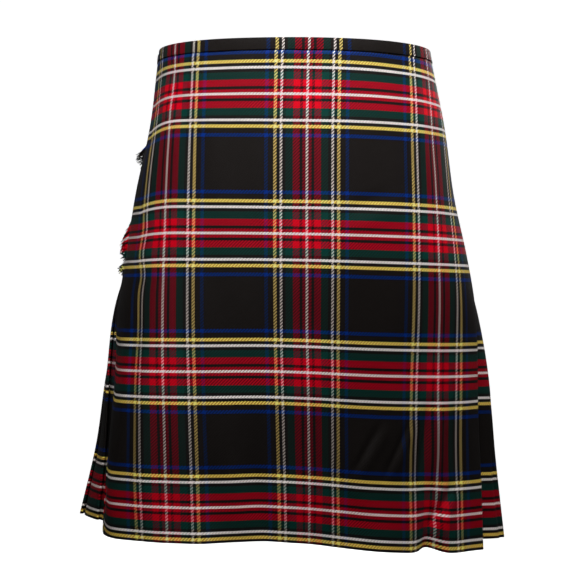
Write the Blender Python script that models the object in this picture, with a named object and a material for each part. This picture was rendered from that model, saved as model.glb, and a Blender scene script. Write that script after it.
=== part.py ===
"""A kilt, worn with no wearer inside: one length of tartan cloth that crosses the front twice and is knife
pleated round the back, with a sewn waistband, a fringed edge and two leather straps with buckles.

Metres, +Z up. The origin is the middle of the waist opening, level with the top of the waistband. The front
faces -Y. Right and left are the wearer's: right is -X and left is +X. A drop is a distance below the origin.
Cloth runs in one spiral: over apron, deep fold on the left, pleats round the back, under apron.
"""

import bisect
import math

import bpy

# ---- driving dimensions -------------------------------------------------------------------------------

LENGTH = 0.610
BAND_HEIGHT = 0.0155
SEAM = 0.0003
CLOTH = 0.0013
BAND_THICKNESS = 0.0026

PLEATS = 24
PLEATS_IN_GROUP = (5, 5, 4, 5, 5)
GROUP_NAMES = ("left_side", "left_back", "centre_back", "right_back", "right_side")
UNDERLAP = 0.95
LAYER_STEP_AT_WAIST = 0.0019
LAYER_STEP_AT_HEM = 0.0027
LAYERS_IN_STACK = 3.9

APRON_CENTRE_X = 0.0145
APRON_REACH_RIGHT = 0.285
APRON_REACH_LEFT = 0.256
DEEP_FOLD_RETURN = 0.055
UNDER_APRON_INSET = 0.0085
UNDER_APRON_SHORTER = 0.006
UNDER_APRON_END_BEARING = 76.0

SKIRT_DIP = 0.0036
SKIRT_DIP_SLOPE = 0.067
DIP_GROWTH = 2.5

APRON_COLUMNS = 40
BAND_COLUMNS = 26
CURVE_STEPS = 40
HEADING_REACH = 0.004
FOLD_COLUMNS = 5
UNDER_APRON_COLUMNS = 26
UNDER_APRON_EASE = 0.25
PLEAT_MIDDLE_LAYERS = 0.95
GROUP_END_SHORTER = 0.003
MITRE_LIMIT = 2.0

FRINGE_STRANDS = 86
FRINGE_STRIP = 0.004
FRINGE_SHARE = 0.62
FRINGE_MIDDLE = 0.85
FRINGE_TIP = 0.35
FRINGE_TURN = 0.75
FRINGE_FALL = 0.28
FRINGE_DROOP = 0.55
FRINGE_UNEVEN = 0.12
FRINGE_LIE_OUT = 0.06
FRINGE_FLARE = 0.62

CLOSURE_DROP = 0.0080
STRAP_WIDTH = 0.0115
STRAP_THICKNESS = 0.0020
STRAP_ROOT_RIGHT = 0.266
STRAP_POINT = 0.14
STRAP_POINT_SLOT = 0.40
STRAP_STEP = 0.008
TAB_WIDTH = 0.0110
TAB_THICKNESS = 0.0013
BUCKLE_OPENING = 0.0124
BUCKLE_LENGTH = 0.0186
BUCKLE_ROD = 0.0010
BUCKLE_CORNER = 0.0015
PRONG_ROD = 0.0009
PRONG_SLOT = 0.0028
LEATHER_GAP = 0.0004
SLOT_LENGTH = 0.0115
SLOT_HEIGHT = 0.0126
SLOT_BEARING = 108.0
UNDER_BAND_END_BEARING = 76.0
BAND_PROUD = 0.0007
BAND_EASE = 0.035
BAND_SQUARE_END = 0.004
RIGHT_BUCKLE_BEARING = 243.0
LEFT_BUCKLE_BEARING = 119.0

# The over apron's outline at each drop: its foremost point, the points farthest to the wearer's right and
# left, and how square each front corner is (2 is an ellipse, 1 is a straight slant).
APRON_FIELDS = (
    "drop", "front_x", "front_y", "right_x", "right_y", "right_square", "left_x", "left_y", "left_square",
)
APRON_OUTLINES = (
    (0.000, 0.000, -0.130, -0.174, -0.004, 2.35, 0.175, 0.000, 2.10),
    (0.090, -0.012, -0.133, -0.184, -0.012, 2.45, 0.193, -0.002, 2.12),
    (0.180, -0.026, -0.137, -0.202, -0.014, 2.55, 0.205, 0.000, 2.20),
    (0.260, -0.040, -0.140, -0.2145, -0.020, 2.50, 0.223, 0.002, 2.10),
    (0.333, -0.068, -0.142, -0.2240, -0.036, 2.46, 0.238, 0.002, 1.85),
    (0.430, -0.083, -0.145, -0.2260, -0.068, 2.40, 0.242, 0.000, 1.50),
    (0.515, -0.090, -0.149, -0.2330, -0.088, 2.33, 0.246, 0.000, 1.32),
    (0.610, -0.100, -0.154, -0.239, -0.086, 2.26, 0.251, 0.000, 1.18),
)

# The outline that the pleats' folded edges follow, which also leads the under apron inside the over apron.
SKIRT_FIELDS = (*APRON_FIELDS, "back_y")
SKIRT_OUTLINES = (
    (0.000, 0.000, -0.1255, -0.1690, 0.002, 2.30, 0.1705, 0.004, 2.05, 0.124),
    (0.090, -0.012, -0.1285, -0.1790, 0.000, 2.35, 0.1885, 0.004, 2.05, 0.138),
    (0.180, -0.026, -0.1325, -0.1970, 0.000, 2.40, 0.2005, 0.006, 2.10, 0.151),
    (0.260, -0.040, -0.1355, -0.2125, 0.002, 2.35, 0.2175, 0.010, 2.00, 0.157),
    (0.333, -0.068, -0.1375, -0.2335, 0.012, 1.92, 0.2390, 0.014, 1.75, 0.161),
    (0.430, -0.083, -0.1405, -0.2470, 0.008, 1.82, 0.2585, 0.022, 1.45, 0.166),
    (0.515, -0.090, -0.1445, -0.2570, 0.000, 1.66, 0.2670, 0.030, 1.30, 0.170),
    (0.610, -0.100, -0.1495, -0.2765, -0.010, 1.50, 0.2790, 0.040, 1.35, 0.175),
)
BACK_SQUARE = 2.25

# Where the deep fold and the last pleat lie, as a bearing from the front (0 degrees) by the wearer's left
# (90 degrees).
FOLD_FIELDS = ("drop", "deep_fold", "last_pleat")
FOLD_BEARINGS = (
    (0.000, 96.0, 266.5),
    (0.090, 92.5, 268.0),
    (0.180, 88.0, 271.0),
    (0.260, 85.0, 274.0),
    (0.333, 84.5, 276.0),
    (0.430, 86.0, 284.0),
    (0.515, 87.0, 287.5),
    (0.610, 87.5, 290.5),
)

# How far each pleat's folded edge has swung along the hem, on from its even place, by its number from the
# deep fold: the pleats beside the two aprons hang open.
SWING_FIELDS = ("edge", "swing")
PLEAT_SWINGS = (
    (0, 0.000),
    (1, 0.013),
    (2, 0.008),
    (3, 0.003),
    (4, 0.000),
    (18, 0.000),
    (19, -0.004),
    (20, -0.009),
    (21, -0.014),
    (22, -0.019),
    (23, 0.003),
    (24, 0.000),
)

# How far below its length the over apron's hem hangs, by how far round it is from the apron's middle: the
# apron was wrapped lower on the wearer's left.
HEM_FIELDS = ("from_centre", "dip")
HEM_DIPS = (
    (-0.285, 0.0005),
    (-0.150, 0.0045),
    (-0.060, 0.0040),
    (0.000, 0.0095),
    (0.066, 0.0200),
    (0.110, 0.0255),
    (0.160, 0.0300),
    (0.200, 0.0325),
    (0.256, 0.0322),
)

# The front's soft folds: where across, half width, how far the hem goes in (or out, below 0), the drop
# where the fold fades out, and how much the tucked cloth lifts the hem.
CREASE_FIELDS = ("across", "half_width", "inward", "fades_at", "lift")
CREASES = (
    (0.1725, 0.0145, 0.012, 0.480, 0.0065),
    (0.118, 0.026, -0.005, 0.400, 0.0000),
    (0.212, 0.018, -0.003, 0.440, 0.0000),
    (-0.070, 0.035, 0.003, 0.380, 0.0000),
    (-0.150, 0.028, -0.003, 0.360, 0.0000),
)

CLOTH_TOP = BAND_HEIGHT + SEAM
APRON_DROPS = (
    CLOTH_TOP, 0.065, 0.120, 0.170, 0.220, 0.280, 0.340, 0.400, 0.455, 0.505, 0.550, 0.585, LENGTH,
)
SKIRT_DROPS = (CLOTH_TOP, 0.080, 0.160, 0.230, 0.300, 0.380, 0.460, 0.540, LENGTH)
BAND_DROPS = (0.0, BAND_HEIGHT)
BAND_SLOT_DROPS = (0.0, CLOSURE_DROP - SLOT_HEIGHT / 2, CLOSURE_DROP + SLOT_HEIGHT / 2, BAND_HEIGHT)

# How long the fringe's loose ends are: shorter where the pleats stand close behind them.
FRINGE_LENGTH_FIELDS = ("drop", "length")
FRINGE_LENGTHS = (
    (0.000, 0.0130),
    (0.260, 0.0125),
    (0.310, 0.0070),
    (0.400, 0.0040),
    (0.490, 0.0060),
    (0.610, 0.0060),
)

# Where the fringe turns outwards enough to show past the edge: a drop and how far it lasts either way.
FRINGE_FIELDS = ("drop", "spread")
FRINGE_TUFTS = ((0.125, 0.022), (0.245, 0.034))

# How the strap lies past the buckle's outer bar: how far along, which level it rises from, which it heads
# for and what share of the way there it is.
STRAP_FIELDS = ("along", "low", "high", "risen")
STRAP_LEAD = (
    (0.0025, "resting", "top", 0.00),
    (0.0065, "resting", "top", 0.28),
)
STRAP_TAIL = (
    (0.0140, "resting", "top", 0.88),
    (0.0168, "resting", "top", 1.00),
    (0.0216, "resting", "top", 1.00),
    (0.0386, "over_tab", "top", 0.30),
    (0.0506, "over_tab", "top", 0.00),
    (0.0646, "resting", "over_tab", 0.12),
    (0.0930, "resting", "top", 0.00),
    (0.1050, "resting", "top", 0.00),
)

# The prong beyond its start at the heel bar: how far from the outer bar, and what share it has risen.
PRONG_PATH = ((0.0120, 0.30), (0.0055, 0.90), (0.0, 1.0), (-0.0022, 0.80))

FINISH_FIELDS = ("name", "colour", "roughness", "metallic")
FINISHES = (
    ("cloth", (0.020, 0.014, 0.015), 0.85, 0.0),
    ("band", (0.150, 0.012, 0.016), 0.85, 0.0),
    ("fringe", (0.180, 0.010, 0.016), 0.90, 0.0),
    ("leather", (0.012, 0.010, 0.009), 0.50, 0.0),
    ("metal", (0.620, 0.620, 0.600), 0.28, 1.0),
)


# ---- tables and curves --------------------------------------------------------------------------------


def row_at(fields, rows, key):
    """The table's row at this value of its first column, eased between the rows before and after it."""
    keys = [row[0] for row in rows]
    place = min(max(bisect.bisect_right(keys, key) - 1, 0), len(rows) - 2)
    before = rows[max(place - 1, 0)]
    above, below = rows[place], rows[place + 1]
    after = rows[min(place + 2, len(rows) - 1)]
    gap = below[0] - above[0]
    share = min(max((key - above[0]) / gap, 0.0), 1.0)
    values = {}
    for column, name in enumerate(fields):
        slope_above = gap * (below[column] - before[column]) / (below[0] - before[0])
        slope_below = gap * (after[column] - above[column]) / (after[0] - above[0])
        values[name] = (
            above[column] * (1 + 2 * share) * (1 - share) ** 2
            + slope_above * share * (1 - share) ** 2
            + below[column] * share**2 * (3 - 2 * share)
            + slope_below * share**2 * (share - 1)
        )
    return values


def corner(start, end, square):
    """A round corner from the point start, where it runs across, to end, where it runs fore and aft."""
    points = []
    for step in range(CURVE_STEPS + 1):
        angle = math.pi / 2 * step / CURVE_STEPS
        across = math.sin(angle) ** (2 / square)
        along = math.cos(angle) ** (2 / square)
        points.append((start[0] + (end[0] - start[0]) * across, end[1] + (start[1] - end[1]) * along))
    return points


class Outline:
    """A closed outline seen from above, measured from its foremost point towards the wearer's left."""

    def __init__(self, row):
        front = (row["front_x"], row["front_y"])
        left = (row["left_x"], row["left_y"])
        right = (row["right_x"], row["right_y"])
        back = (0.0, row["back_y"])
        points = corner(front, left, row["left_square"])
        points += corner(back, left, BACK_SQUARE)[-2::-1]
        points += corner(back, right, BACK_SQUARE)[1:]
        points += corner(front, right, row["right_square"])[-2::-1]
        self.points = points
        self.reach = [0.0]
        for near, far in zip(points, points[1:]):
            self.reach.append(self.reach[-1] + math.dist(near, far))
        self.bearings = [self.bearing_of(point) for point in points]

    @staticmethod
    def bearing_of(point):
        return math.degrees(math.atan2(point[0], -point[1])) % 360.0

    @property
    def around(self):
        return self.reach[-1]

    def place(self, distance):
        """The point at this distance along the outline, and the direction straight in from it."""
        ahead = self.spot(distance + HEADING_REACH)
        behind = self.spot(distance - HEADING_REACH)
        length = math.dist(ahead, behind)
        return self.spot(distance), ((behind[1] - ahead[1]) / length, (ahead[0] - behind[0]) / length)

    def spot(self, distance):
        """The point at this distance along the outline."""
        distance = distance % self.around
        step = min(max(bisect.bisect_right(self.reach, distance) - 1, 0), len(self.points) - 2)
        near, far = self.points[step], self.points[step + 1]
        span = max(self.reach[step + 1] - self.reach[step], 1e-9)
        share = (distance - self.reach[step]) / span
        return near[0] + (far[0] - near[0]) * share, near[1] + (far[1] - near[1]) * share

    def distance_at_x(self, across):
        """How far along the front the outline reaches this place across."""
        for step in range(CURVE_STEPS):
            near, far = self.points[step], self.points[step + 1]
            if near[0] <= across <= far[0]:
                share = (across - near[0]) / (far[0] - near[0])
                return self.reach[step] + share * (self.reach[step + 1] - self.reach[step])
        return 0.0

    def distance_at_bearing(self, bearing):
        """How far along the outline this bearing is, from the front round by the left and the back."""
        for step in range(2, len(self.points) - 2):
            if self.bearings[step] <= bearing <= self.bearings[step + 1]:
                share = (bearing - self.bearings[step]) / (self.bearings[step + 1] - self.bearings[step])
                return self.reach[step] + share * (self.reach[step + 1] - self.reach[step])
        return self.reach[2]


def apron_outline(drop):
    row = row_at(APRON_FIELDS, APRON_OUTLINES, drop)
    row["back_y"] = row_at(SKIRT_FIELDS, SKIRT_OUTLINES, drop)["back_y"]
    return Outline(row)


def skirt_outline(drop):
    return Outline(row_at(SKIRT_FIELDS, SKIRT_OUTLINES, drop))


# ---- how the cloth hangs ------------------------------------------------------------------------------


def crease_push(across, drop):
    """How far the front's folds move the cloth in, and how far they lift it."""
    inward, lift = 0.0, 0.0
    for row in CREASES:
        crease = dict(zip(CREASE_FIELDS, row))
        if drop <= crease["fades_at"]:
            continue
        depth = ((drop - crease["fades_at"]) / (LENGTH - crease["fades_at"])) ** 2
        spread = math.exp(-(((across - crease["across"]) / crease["half_width"]) ** 2))
        inward += crease["inward"] * depth * spread
        lift += crease["lift"] * depth * spread
    return inward, lift


def apron_dip(from_centre, drop):
    """How far below its drop the over apron hangs."""
    return row_at(HEM_FIELDS, HEM_DIPS, from_centre)["dip"] * (drop / LENGTH) ** DIP_GROWTH


def skirt_dip(across, drop):
    """How far below its drop the pleated cloth hangs: it leans a little to the wearer's left."""
    return (drop / LENGTH) ** 2 * (SKIRT_DIP + SKIRT_DIP_SLOPE * across)


def layer_step(drop):
    """From the middle of one layer of cloth to the next: the pleats lie looser towards the hem."""
    return LAYER_STEP_AT_WAIST + (LAYER_STEP_AT_HEM - LAYER_STEP_AT_WAIST) * (drop / LENGTH) ** 2


def inset(outline, distance, depth):
    """The point this deep inside the outline at this distance along it."""
    point, inwards = outline.place(distance)
    return point[0] + inwards[0] * depth, point[1] + inwards[1] * depth


# ---- walls --------------------------------------------------------------------------------------------


def offset_line(points, amount):
    """The line moved sideways, to its right for a positive amount, with mitred corners."""
    moved = []
    for index, point in enumerate(points):
        before = points[max(index - 1, 0)]
        after = points[min(index + 1, len(points) - 1)]
        sides = []
        for near, far in ((before, point), (point, after)):
            length = math.dist(near, far)
            if length > 1e-9:
                sides.append(((far[1] - near[1]) / length, (near[0] - far[0]) / length))
        mean = (sum(side[0] for side in sides), sum(side[1] for side in sides))
        size = math.hypot(*mean)
        mean = (mean[0] / size, mean[1] / size)
        stretch = min(1 / (mean[0] * sides[0][0] + mean[1] * sides[0][1]), MITRE_LIMIT)
        moved.append((point[0] + mean[0] * amount * stretch, point[1] + mean[1] * amount * stretch))
    return moved


class Solid:
    """Points and faces of one closed body."""

    def __init__(self):
        self.points = []
        self.faces = []

    def add(self, point):
        self.points.append(tuple(point))
        return len(self.points) - 1

    def wall(self, outer, inner, holes=()):
        """A wall between two grids of points, each a list of columns; holes are cells left open."""
        columns, rows = len(outer), len(outer[0])
        out = [[self.add(point) for point in column] for column in outer]
        back = [[self.add(point) for point in column] for column in inner]
        kept = {(c, r) for c in range(columns - 1) for r in range(rows - 1)} - set(holes)
        for c, r in sorted(kept):
            self.faces.append((out[c][r], out[c][r + 1], out[c + 1][r + 1], out[c + 1][r]))
            self.faces.append((back[c][r], back[c + 1][r], back[c + 1][r + 1], back[c][r + 1]))
            if (c - 1, r) not in kept:
                self.faces.append((out[c][r], back[c][r], back[c][r + 1], out[c][r + 1]))
            if (c + 1, r) not in kept:
                self.faces.append((out[c + 1][r], out[c + 1][r + 1], back[c + 1][r + 1], back[c + 1][r]))
            if (c, r - 1) not in kept:
                self.faces.append((out[c][r], out[c + 1][r], back[c + 1][r], back[c][r]))
            if (c, r + 1) not in kept:
                self.faces.append((out[c][r + 1], back[c][r + 1], back[c + 1][r + 1], out[c + 1][r + 1]))
        return out, back

    def tube(self, centres, radius, sides, closed=False):
        """A rod along the centres, or a ring where it is closed."""
        count = len(centres)
        rings = []
        side_axis = None
        for index, centre in enumerate(centres):
            if closed:
                before, after = centres[index - 1], centres[(index + 1) % count]
            else:
                before, after = centres[max(index - 1, 0)], centres[min(index + 1, count - 1)]
            ahead = unit([b - a for a, b in zip(before, after)])
            if side_axis is None:
                side_axis = unit(cross(ahead, (0.37, 0.61, 0.70)))
            side_axis = unit(cross(cross(ahead, side_axis), ahead))
            up_axis = cross(ahead, side_axis)
            ring = []
            for corner_index in range(sides):
                angle = 2 * math.pi * corner_index / sides
                ring.append(self.add(
                    c + radius * (math.cos(angle) * s + math.sin(angle) * u)
                    for c, s, u in zip(centre, side_axis, up_axis)
                ))
            rings.append(ring)
        pairs = list(zip(rings, rings[1:]))
        if closed:
            pairs.append((rings[-1], rings[0]))
        for near, far in pairs:
            for k in range(sides):
                following = (k + 1) % sides
                self.faces.append((near[k], near[following], far[following], far[k]))
        if not closed:
            self.faces.append(tuple(reversed(rings[0])))
            self.faces.append(tuple(rings[-1]))

    def build(self, name, material):
        mesh = bpy.data.meshes.new(name)
        mesh.from_pydata(self.points, [], self.faces)
        mesh.materials.append(material)
        mesh.shade_smooth()
        mesh.set_sharp_from_angle(angle=math.radians(40))
        mesh.validate()
        built = bpy.data.objects.new(name, mesh)
        bpy.context.collection.objects.link(built)
        return built


def cross(a, b):
    return (a[1] * b[2] - a[2] * b[1], a[2] * b[0] - a[0] * b[2], a[0] * b[1] - a[1] * b[0])


def unit(vector):
    size = math.sqrt(sum(part * part for part in vector))
    return tuple(part / size for part in vector)


def cloth_wall(name, material, lines, thickness, holes=()):
    """A wall along plan lines, one for each drop from the top down: each a list of (x, y, z) points."""
    outer_rows, inner_rows = [], []
    for line in lines:
        plan = [(x, y) for x, y, z in line]
        heights = [z for x, y, z in line]
        outer_rows.append([(*spot, z) for spot, z in zip(offset_line(plan, thickness / 2), heights)])
        inner_rows.append([(*spot, z) for spot, z in zip(offset_line(plan, -thickness / 2), heights)])
    solid = Solid()
    outer = [list(column) for column in zip(*outer_rows)]
    inner = [list(column) for column in zip(*inner_rows)]
    solid.wall(outer, inner, holes)
    return solid.build(name, material)


# ---- pieces -------------------------------------------------------------------------------------------


def apron_line(drop):
    """The over apron at one drop, from its free edge across the front, round the deep fold and back under."""
    outline = apron_outline(drop)
    centre = outline.distance_at_x(APRON_CENTRE_X)
    line = []
    for column in range(APRON_COLUMNS + 1):
        from_centre = -APRON_REACH_RIGHT + (APRON_REACH_RIGHT + APRON_REACH_LEFT) * column / APRON_COLUMNS
        point, inwards = outline.place(centre + from_centre)
        push, lift = crease_push(point[0], drop)
        push += CLOTH / 2
        line.append((
            point[0] + inwards[0] * push,
            point[1] + inwards[1] * push,
            -drop - apron_dip(from_centre, drop) + lift,
        ))
    step = layer_step(drop)
    for column in range(FOLD_COLUMNS + 1):
        from_centre = APRON_REACH_LEFT - DEEP_FOLD_RETURN * column / FOLD_COLUMNS
        point, inwards = outline.place(centre + from_centre)
        push, lift = crease_push(point[0], drop)
        push += CLOTH / 2 + step
        line.append((
            point[0] + inwards[0] * push,
            point[1] + inwards[1] * push,
            -drop - apron_dip(from_centre, drop) + lift,
        ))
    return line


def over_apron(material):
    return cloth_wall("over_apron", material, [apron_line(drop) for drop in APRON_DROPS], CLOTH)


def pleat_edges(outline, drop):
    """How far along the outline each pleat's folded edge is, starting at the deep fold."""
    row = row_at(FOLD_FIELDS, FOLD_BEARINGS, drop)
    first = outline.distance_at_bearing(row["deep_fold"])
    last = outline.distance_at_bearing(row["last_pleat"])
    edges = []
    for edge in range(PLEATS + 1):
        swing = row_at(SWING_FIELDS, PLEAT_SWINGS, edge)["swing"] * (drop / LENGTH) ** 2
        edges.append(first + (last - first) * edge / PLEATS + swing)
    return edges


def pleat_lap(edges):
    """How far each pleat reaches in under the one before: a share of an even pleat's width."""
    return UNDERLAP * (edges[-1] - edges[0]) / PLEATS


def pleat_line(drop, first, count):
    """The cloth of these pleats at one drop: in under the pleat before, out to its own edge, and back."""
    outline = skirt_outline(drop)
    edges = pleat_edges(outline, drop)
    lap = pleat_lap(edges)
    step = layer_step(drop)
    line = []

    def lay(distance, layers):
        x, y = inset(outline, distance, CLOTH / 2 + layers * step)
        line.append((x, y, -drop - skirt_dip(x, drop)))

    for pleat in range(first, first + count):
        start, edge = edges[pleat], edges[pleat + 1]
        lay(start - lap, LAYERS_IN_STACK)
        lay(start, 2.0)
        lay((start + edge) / 2, PLEAT_MIDDLE_LAYERS)
        lay(edge, 0.0)
        lay(edge, 1.0)
        lay(edge - lap / 2, 1.95)
        if pleat < first + count - 1:
            lay(edge - lap, LAYERS_IN_STACK - 1)
        else:
            lay(edge - lap + GROUP_END_SHORTER, LAYERS_IN_STACK - 1)
    return line


def pleat_group(name, material, first, count):
    return cloth_wall(name, material, [pleat_line(drop, first, count) for drop in SKIRT_DROPS], CLOTH)


def under_apron_line(drop):
    """The under apron at one drop: from inside the last pleat, forward and across inside the over apron."""
    outline = skirt_outline(drop)
    edges = pleat_edges(outline, drop)
    step = layer_step(drop)
    start = edges[-1] - pleat_lap(edges)
    end = outline.around + outline.distance_at_bearing(UNDER_APRON_END_BEARING)
    line = []
    for column in range(UNDER_APRON_COLUMNS + 1):
        share = column / UNDER_APRON_COLUMNS
        distance = start + (end - start) * share
        point, inwards = outline.place(distance)
        depth = CLOTH / 2 + max(LAYERS_IN_STACK * step, UNDER_APRON_INSET)
        push, lift = crease_push(point[0], drop)
        ease = min(share / UNDER_APRON_EASE, 1.0)
        depth += push * ease
        level = -drop * (1 - UNDER_APRON_SHORTER / LENGTH * ease) - skirt_dip(point[0], drop) + lift * ease
        line.append((point[0] + inwards[0] * depth, point[1] + inwards[1] * depth, level))
    return line


def under_apron(material):
    return cloth_wall("under_apron", material, [under_apron_line(drop) for drop in SKIRT_DROPS], CLOTH)


def band_front_line(drop):
    """The waistband over the over apron, from the free edge to the deep fold."""
    outline = apron_outline(drop)
    centre = outline.distance_at_x(APRON_CENTRE_X)
    line = []
    for column in range(BAND_COLUMNS + 1):
        share = column / BAND_COLUMNS
        distance = centre - APRON_REACH_RIGHT + (APRON_REACH_RIGHT + APRON_REACH_LEFT) * share
        line.append((*inset(outline, distance, BAND_THICKNESS / 2 - BAND_PROUD), -drop))
    return line


def band_front(material):
    lines = [band_front_line(drop) for drop in BAND_DROPS]
    return cloth_wall("waistband_front", material, lines, BAND_THICKNESS)


def slot_distances(outline):
    middle = outline.distance_at_bearing(SLOT_BEARING)
    return middle - SLOT_LENGTH / 2, middle + SLOT_LENGTH / 2


def band_back_line(drop):
    """The waistband over the pleats, eased in from the over apron's outline to the pleats' outline."""
    outline = skirt_outline(drop)
    front = apron_outline(drop)
    front_end = front.distance_at_x(APRON_CENTRE_X) + APRON_REACH_LEFT + SEAM
    start = outline.distance_at_bearing(Outline.bearing_of(front.spot(front_end)))
    slot_start, slot_end = slot_distances(outline)
    end = pleat_edges(outline, drop)[-1]
    distances = [start, start + 0.008, slot_start, slot_end]
    pitch = (end - slot_end) / BAND_COLUMNS
    distances += [slot_end + pitch * column for column in range(1, BAND_COLUMNS + 1)]
    line = []
    for distance in distances:
        ease = min((distance - start) / BAND_EASE, 1.0)
        ease = ease * ease * (3 - 2 * ease)
        x, y = inset(outline, distance, BAND_THICKNESS / 2 - BAND_PROUD)
        out_x, out_y = inset(front, front_end + distance - start, BAND_THICKNESS / 2 - BAND_PROUD)
        line.append((out_x + (x - out_x) * ease, out_y + (y - out_y) * ease, -drop))
    return line


def band_back(material):
    lines = [band_back_line(drop) for drop in BAND_SLOT_DROPS]
    slot_cell = {(2, 1)}
    return cloth_wall("waistband_back", material, lines, BAND_THICKNESS, slot_cell)


def band_under_line(drop):
    """The waistband over the under apron, from the last pleat inwards and across the front inside."""
    outline = skirt_outline(drop)
    start = pleat_edges(outline, drop)[-1] + SEAM
    end = outline.around + outline.distance_at_bearing(UNDER_BAND_END_BEARING)
    deep = UNDER_APRON_INSET + CLOTH / 2
    shallow = BAND_THICKNESS / 2 - BAND_PROUD
    straight = start + BAND_SQUARE_END
    line = [(*inset(outline, start, shallow), -drop)]
    for column in range(BAND_COLUMNS + 1):
        distance = straight + (end - straight) * column / BAND_COLUMNS
        ease = min((distance - straight) / BAND_EASE, 1.0)
        ease = ease * ease * (3 - 2 * ease)
        line.append((*inset(outline, distance, shallow + (deep - shallow) * ease), -drop))
    return line


def band_under(material):
    lines = [band_under_line(drop) for drop in BAND_DROPS]
    return cloth_wall("waistband_under", material, lines, BAND_THICKNESS)


def tuft_at(drop):
    """How far the fringe turns outwards at this drop, from 0, lying back, to 1, standing out."""
    flare = 0.0
    for middle, spread in FRINGE_TUFTS:
        flare = max(flare, 1 - ((drop - middle) / spread) ** 2)
    return max(flare, 0.0)


def fringe_line(beyond, depth):
    """The line this far past the over apron's free edge and this deep in its cloth, at each apron drop."""
    line = []
    for drop in APRON_DROPS:
        outline = apron_outline(drop)
        distance = outline.distance_at_x(APRON_CENTRE_X) - APRON_REACH_RIGHT - beyond
        line.append((*inset(outline, distance, depth), -drop - apron_dip(-APRON_REACH_RIGHT, drop)))
    return line


def along_line(line, drop):
    """The point of a line of apron rows at this drop, straight between its rows."""
    place = min(max(bisect.bisect_right(APRON_DROPS, drop) - 1, 0), len(APRON_DROPS) - 2)
    share = (drop - APRON_DROPS[place]) / (APRON_DROPS[place + 1] - APRON_DROPS[place])
    return tuple(a + (b - a) * share for a, b in zip(line[place], line[place + 1]))


def strand_rings(root, near, far, strand, drop):
    """The middle part and the tip of one strand, as (middle, size) pairs for its root's corners."""
    flare = tuft_at(drop)
    along = unit((far[0] - near[0], far[1] - near[1], 0.0))
    outwards = (-along[1], along[0])
    spread = FRINGE_LIE_OUT + FRINGE_FLARE * flare
    onwards = 1 - FRINGE_TURN * flare
    heading = (
        along[0] * onwards + outwards[0] * spread,
        along[1] * onwards + outwards[1] * spread,
        FRINGE_UNEVEN * math.sin(strand * 2.4) - FRINGE_FALL,
    )
    longest = row_at(FRINGE_LENGTH_FIELDS, FRINGE_LENGTHS, drop)["length"]
    length = longest * (1 - FRINGE_UNEVEN + FRINGE_UNEVEN * math.sin(strand * 1.7))
    droop = (heading[0], heading[1], heading[2] - FRINGE_DROOP)
    rings = []
    for share, size, direction in ((0.5, FRINGE_MIDDLE, heading), (1.0, FRINGE_TIP, droop)):
        step = unit(direction)
        rings.append(([m + length * share * s for m, s in zip(root, step)], size))
    return rings


def fringe(material):
    """A narrow strip beside the over apron's free edge, with strands of loose yarn growing out of it."""
    top, bottom = APRON_DROPS[0] + 0.004, LENGTH - 0.002
    pitch = (bottom - top) / FRINGE_STRANDS
    drops = []
    for strand in range(FRINGE_STRANDS):
        drops += [top + strand * pitch, top + (strand + FRINGE_SHARE) * pitch]
    grids = []
    for depth in (CLOTH, 0.0):
        lines = [fringe_line(beyond, depth) for beyond in (SEAM, SEAM + FRINGE_STRIP)]
        grids.append([[along_line(line, drop) for drop in drops] for line in lines])
    solid = Solid()
    inner, outer = solid.wall(*grids)
    roots = set()
    for strand in range(FRINGE_STRANDS):
        row = 2 * strand
        ring = (inner[1][row], inner[1][row + 1], outer[1][row + 1], outer[1][row])
        roots.add(tuple(sorted(ring)))
        corners = [solid.points[index] for index in ring]
        middle = [sum(values) / 4 for values in zip(*corners)]
        for place, size in strand_rings(middle, grids[1][0][row], grids[1][1][row], strand, drops[row]):
            following = tuple(
                solid.add(p + (c - m) * size for p, c, m in zip(place, corner_point, middle))
                for corner_point in corners
            )
            for k in range(4):
                after = (k + 1) % 4
                solid.faces.append((ring[k], ring[after], following[after], following[k]))
            ring = following
        solid.faces.append(tuple(ring))
    solid.faces = [face for face in solid.faces if tuple(sorted(face)) not in roots]
    return solid.build("fringe", material)


class Closure:
    """A strap with its buckle, measured along the waist from the buckle's outer bar, and out from the band."""

    def __init__(self, name, bearing, heading):
        self.name = name
        self.bearing = bearing
        self.outline = skirt_outline(CLOSURE_DROP)
        self.zero = self.outline.distance_at_bearing(bearing)
        self.heading = heading
        self.outlines = {}

    def spot(self, along, lift, height):
        """The point this far along, this far out from the pleats' outline, at this height."""
        drop = max(-height, 0.0)
        if drop not in self.outlines:
            outline = skirt_outline(drop)
            self.outlines[drop] = outline, outline.distance_at_bearing(self.bearing)
        outline, zero = self.outlines[drop]
        return (*inset(outline, zero + self.heading * along, -lift), height)

    def ribbon(self, piece, material, path, heights, thickness, holes=()):
        """A strip along the path's (along, lift) places; heights gives each place's row heights."""
        rows = []
        for row in range(len(heights[0])):
            rows.append([self.spot(along, lift, level[row]) for (along, lift), level in zip(path, heights)])
        if self.heading < 0:
            rows = [row[::-1] for row in rows]
            last = len(path) - 2
            holes = {(last - column, row) for column, row in holes}
        return cloth_wall(piece + "_" + self.name, material, rows, thickness, holes)


def in_steps(path, longest):
    """The path with places added, so that no step along it is longer than this."""
    finer = [path[0]]
    for (start, low), (end, high) in zip(path, path[1:]):
        steps = max(math.ceil(abs(end - start) / longest), 1)
        for step in range(1, steps + 1):
            share = step / steps
            finer.append((start + (end - start) * share, low + (high - low) * share))
    return finer


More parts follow.
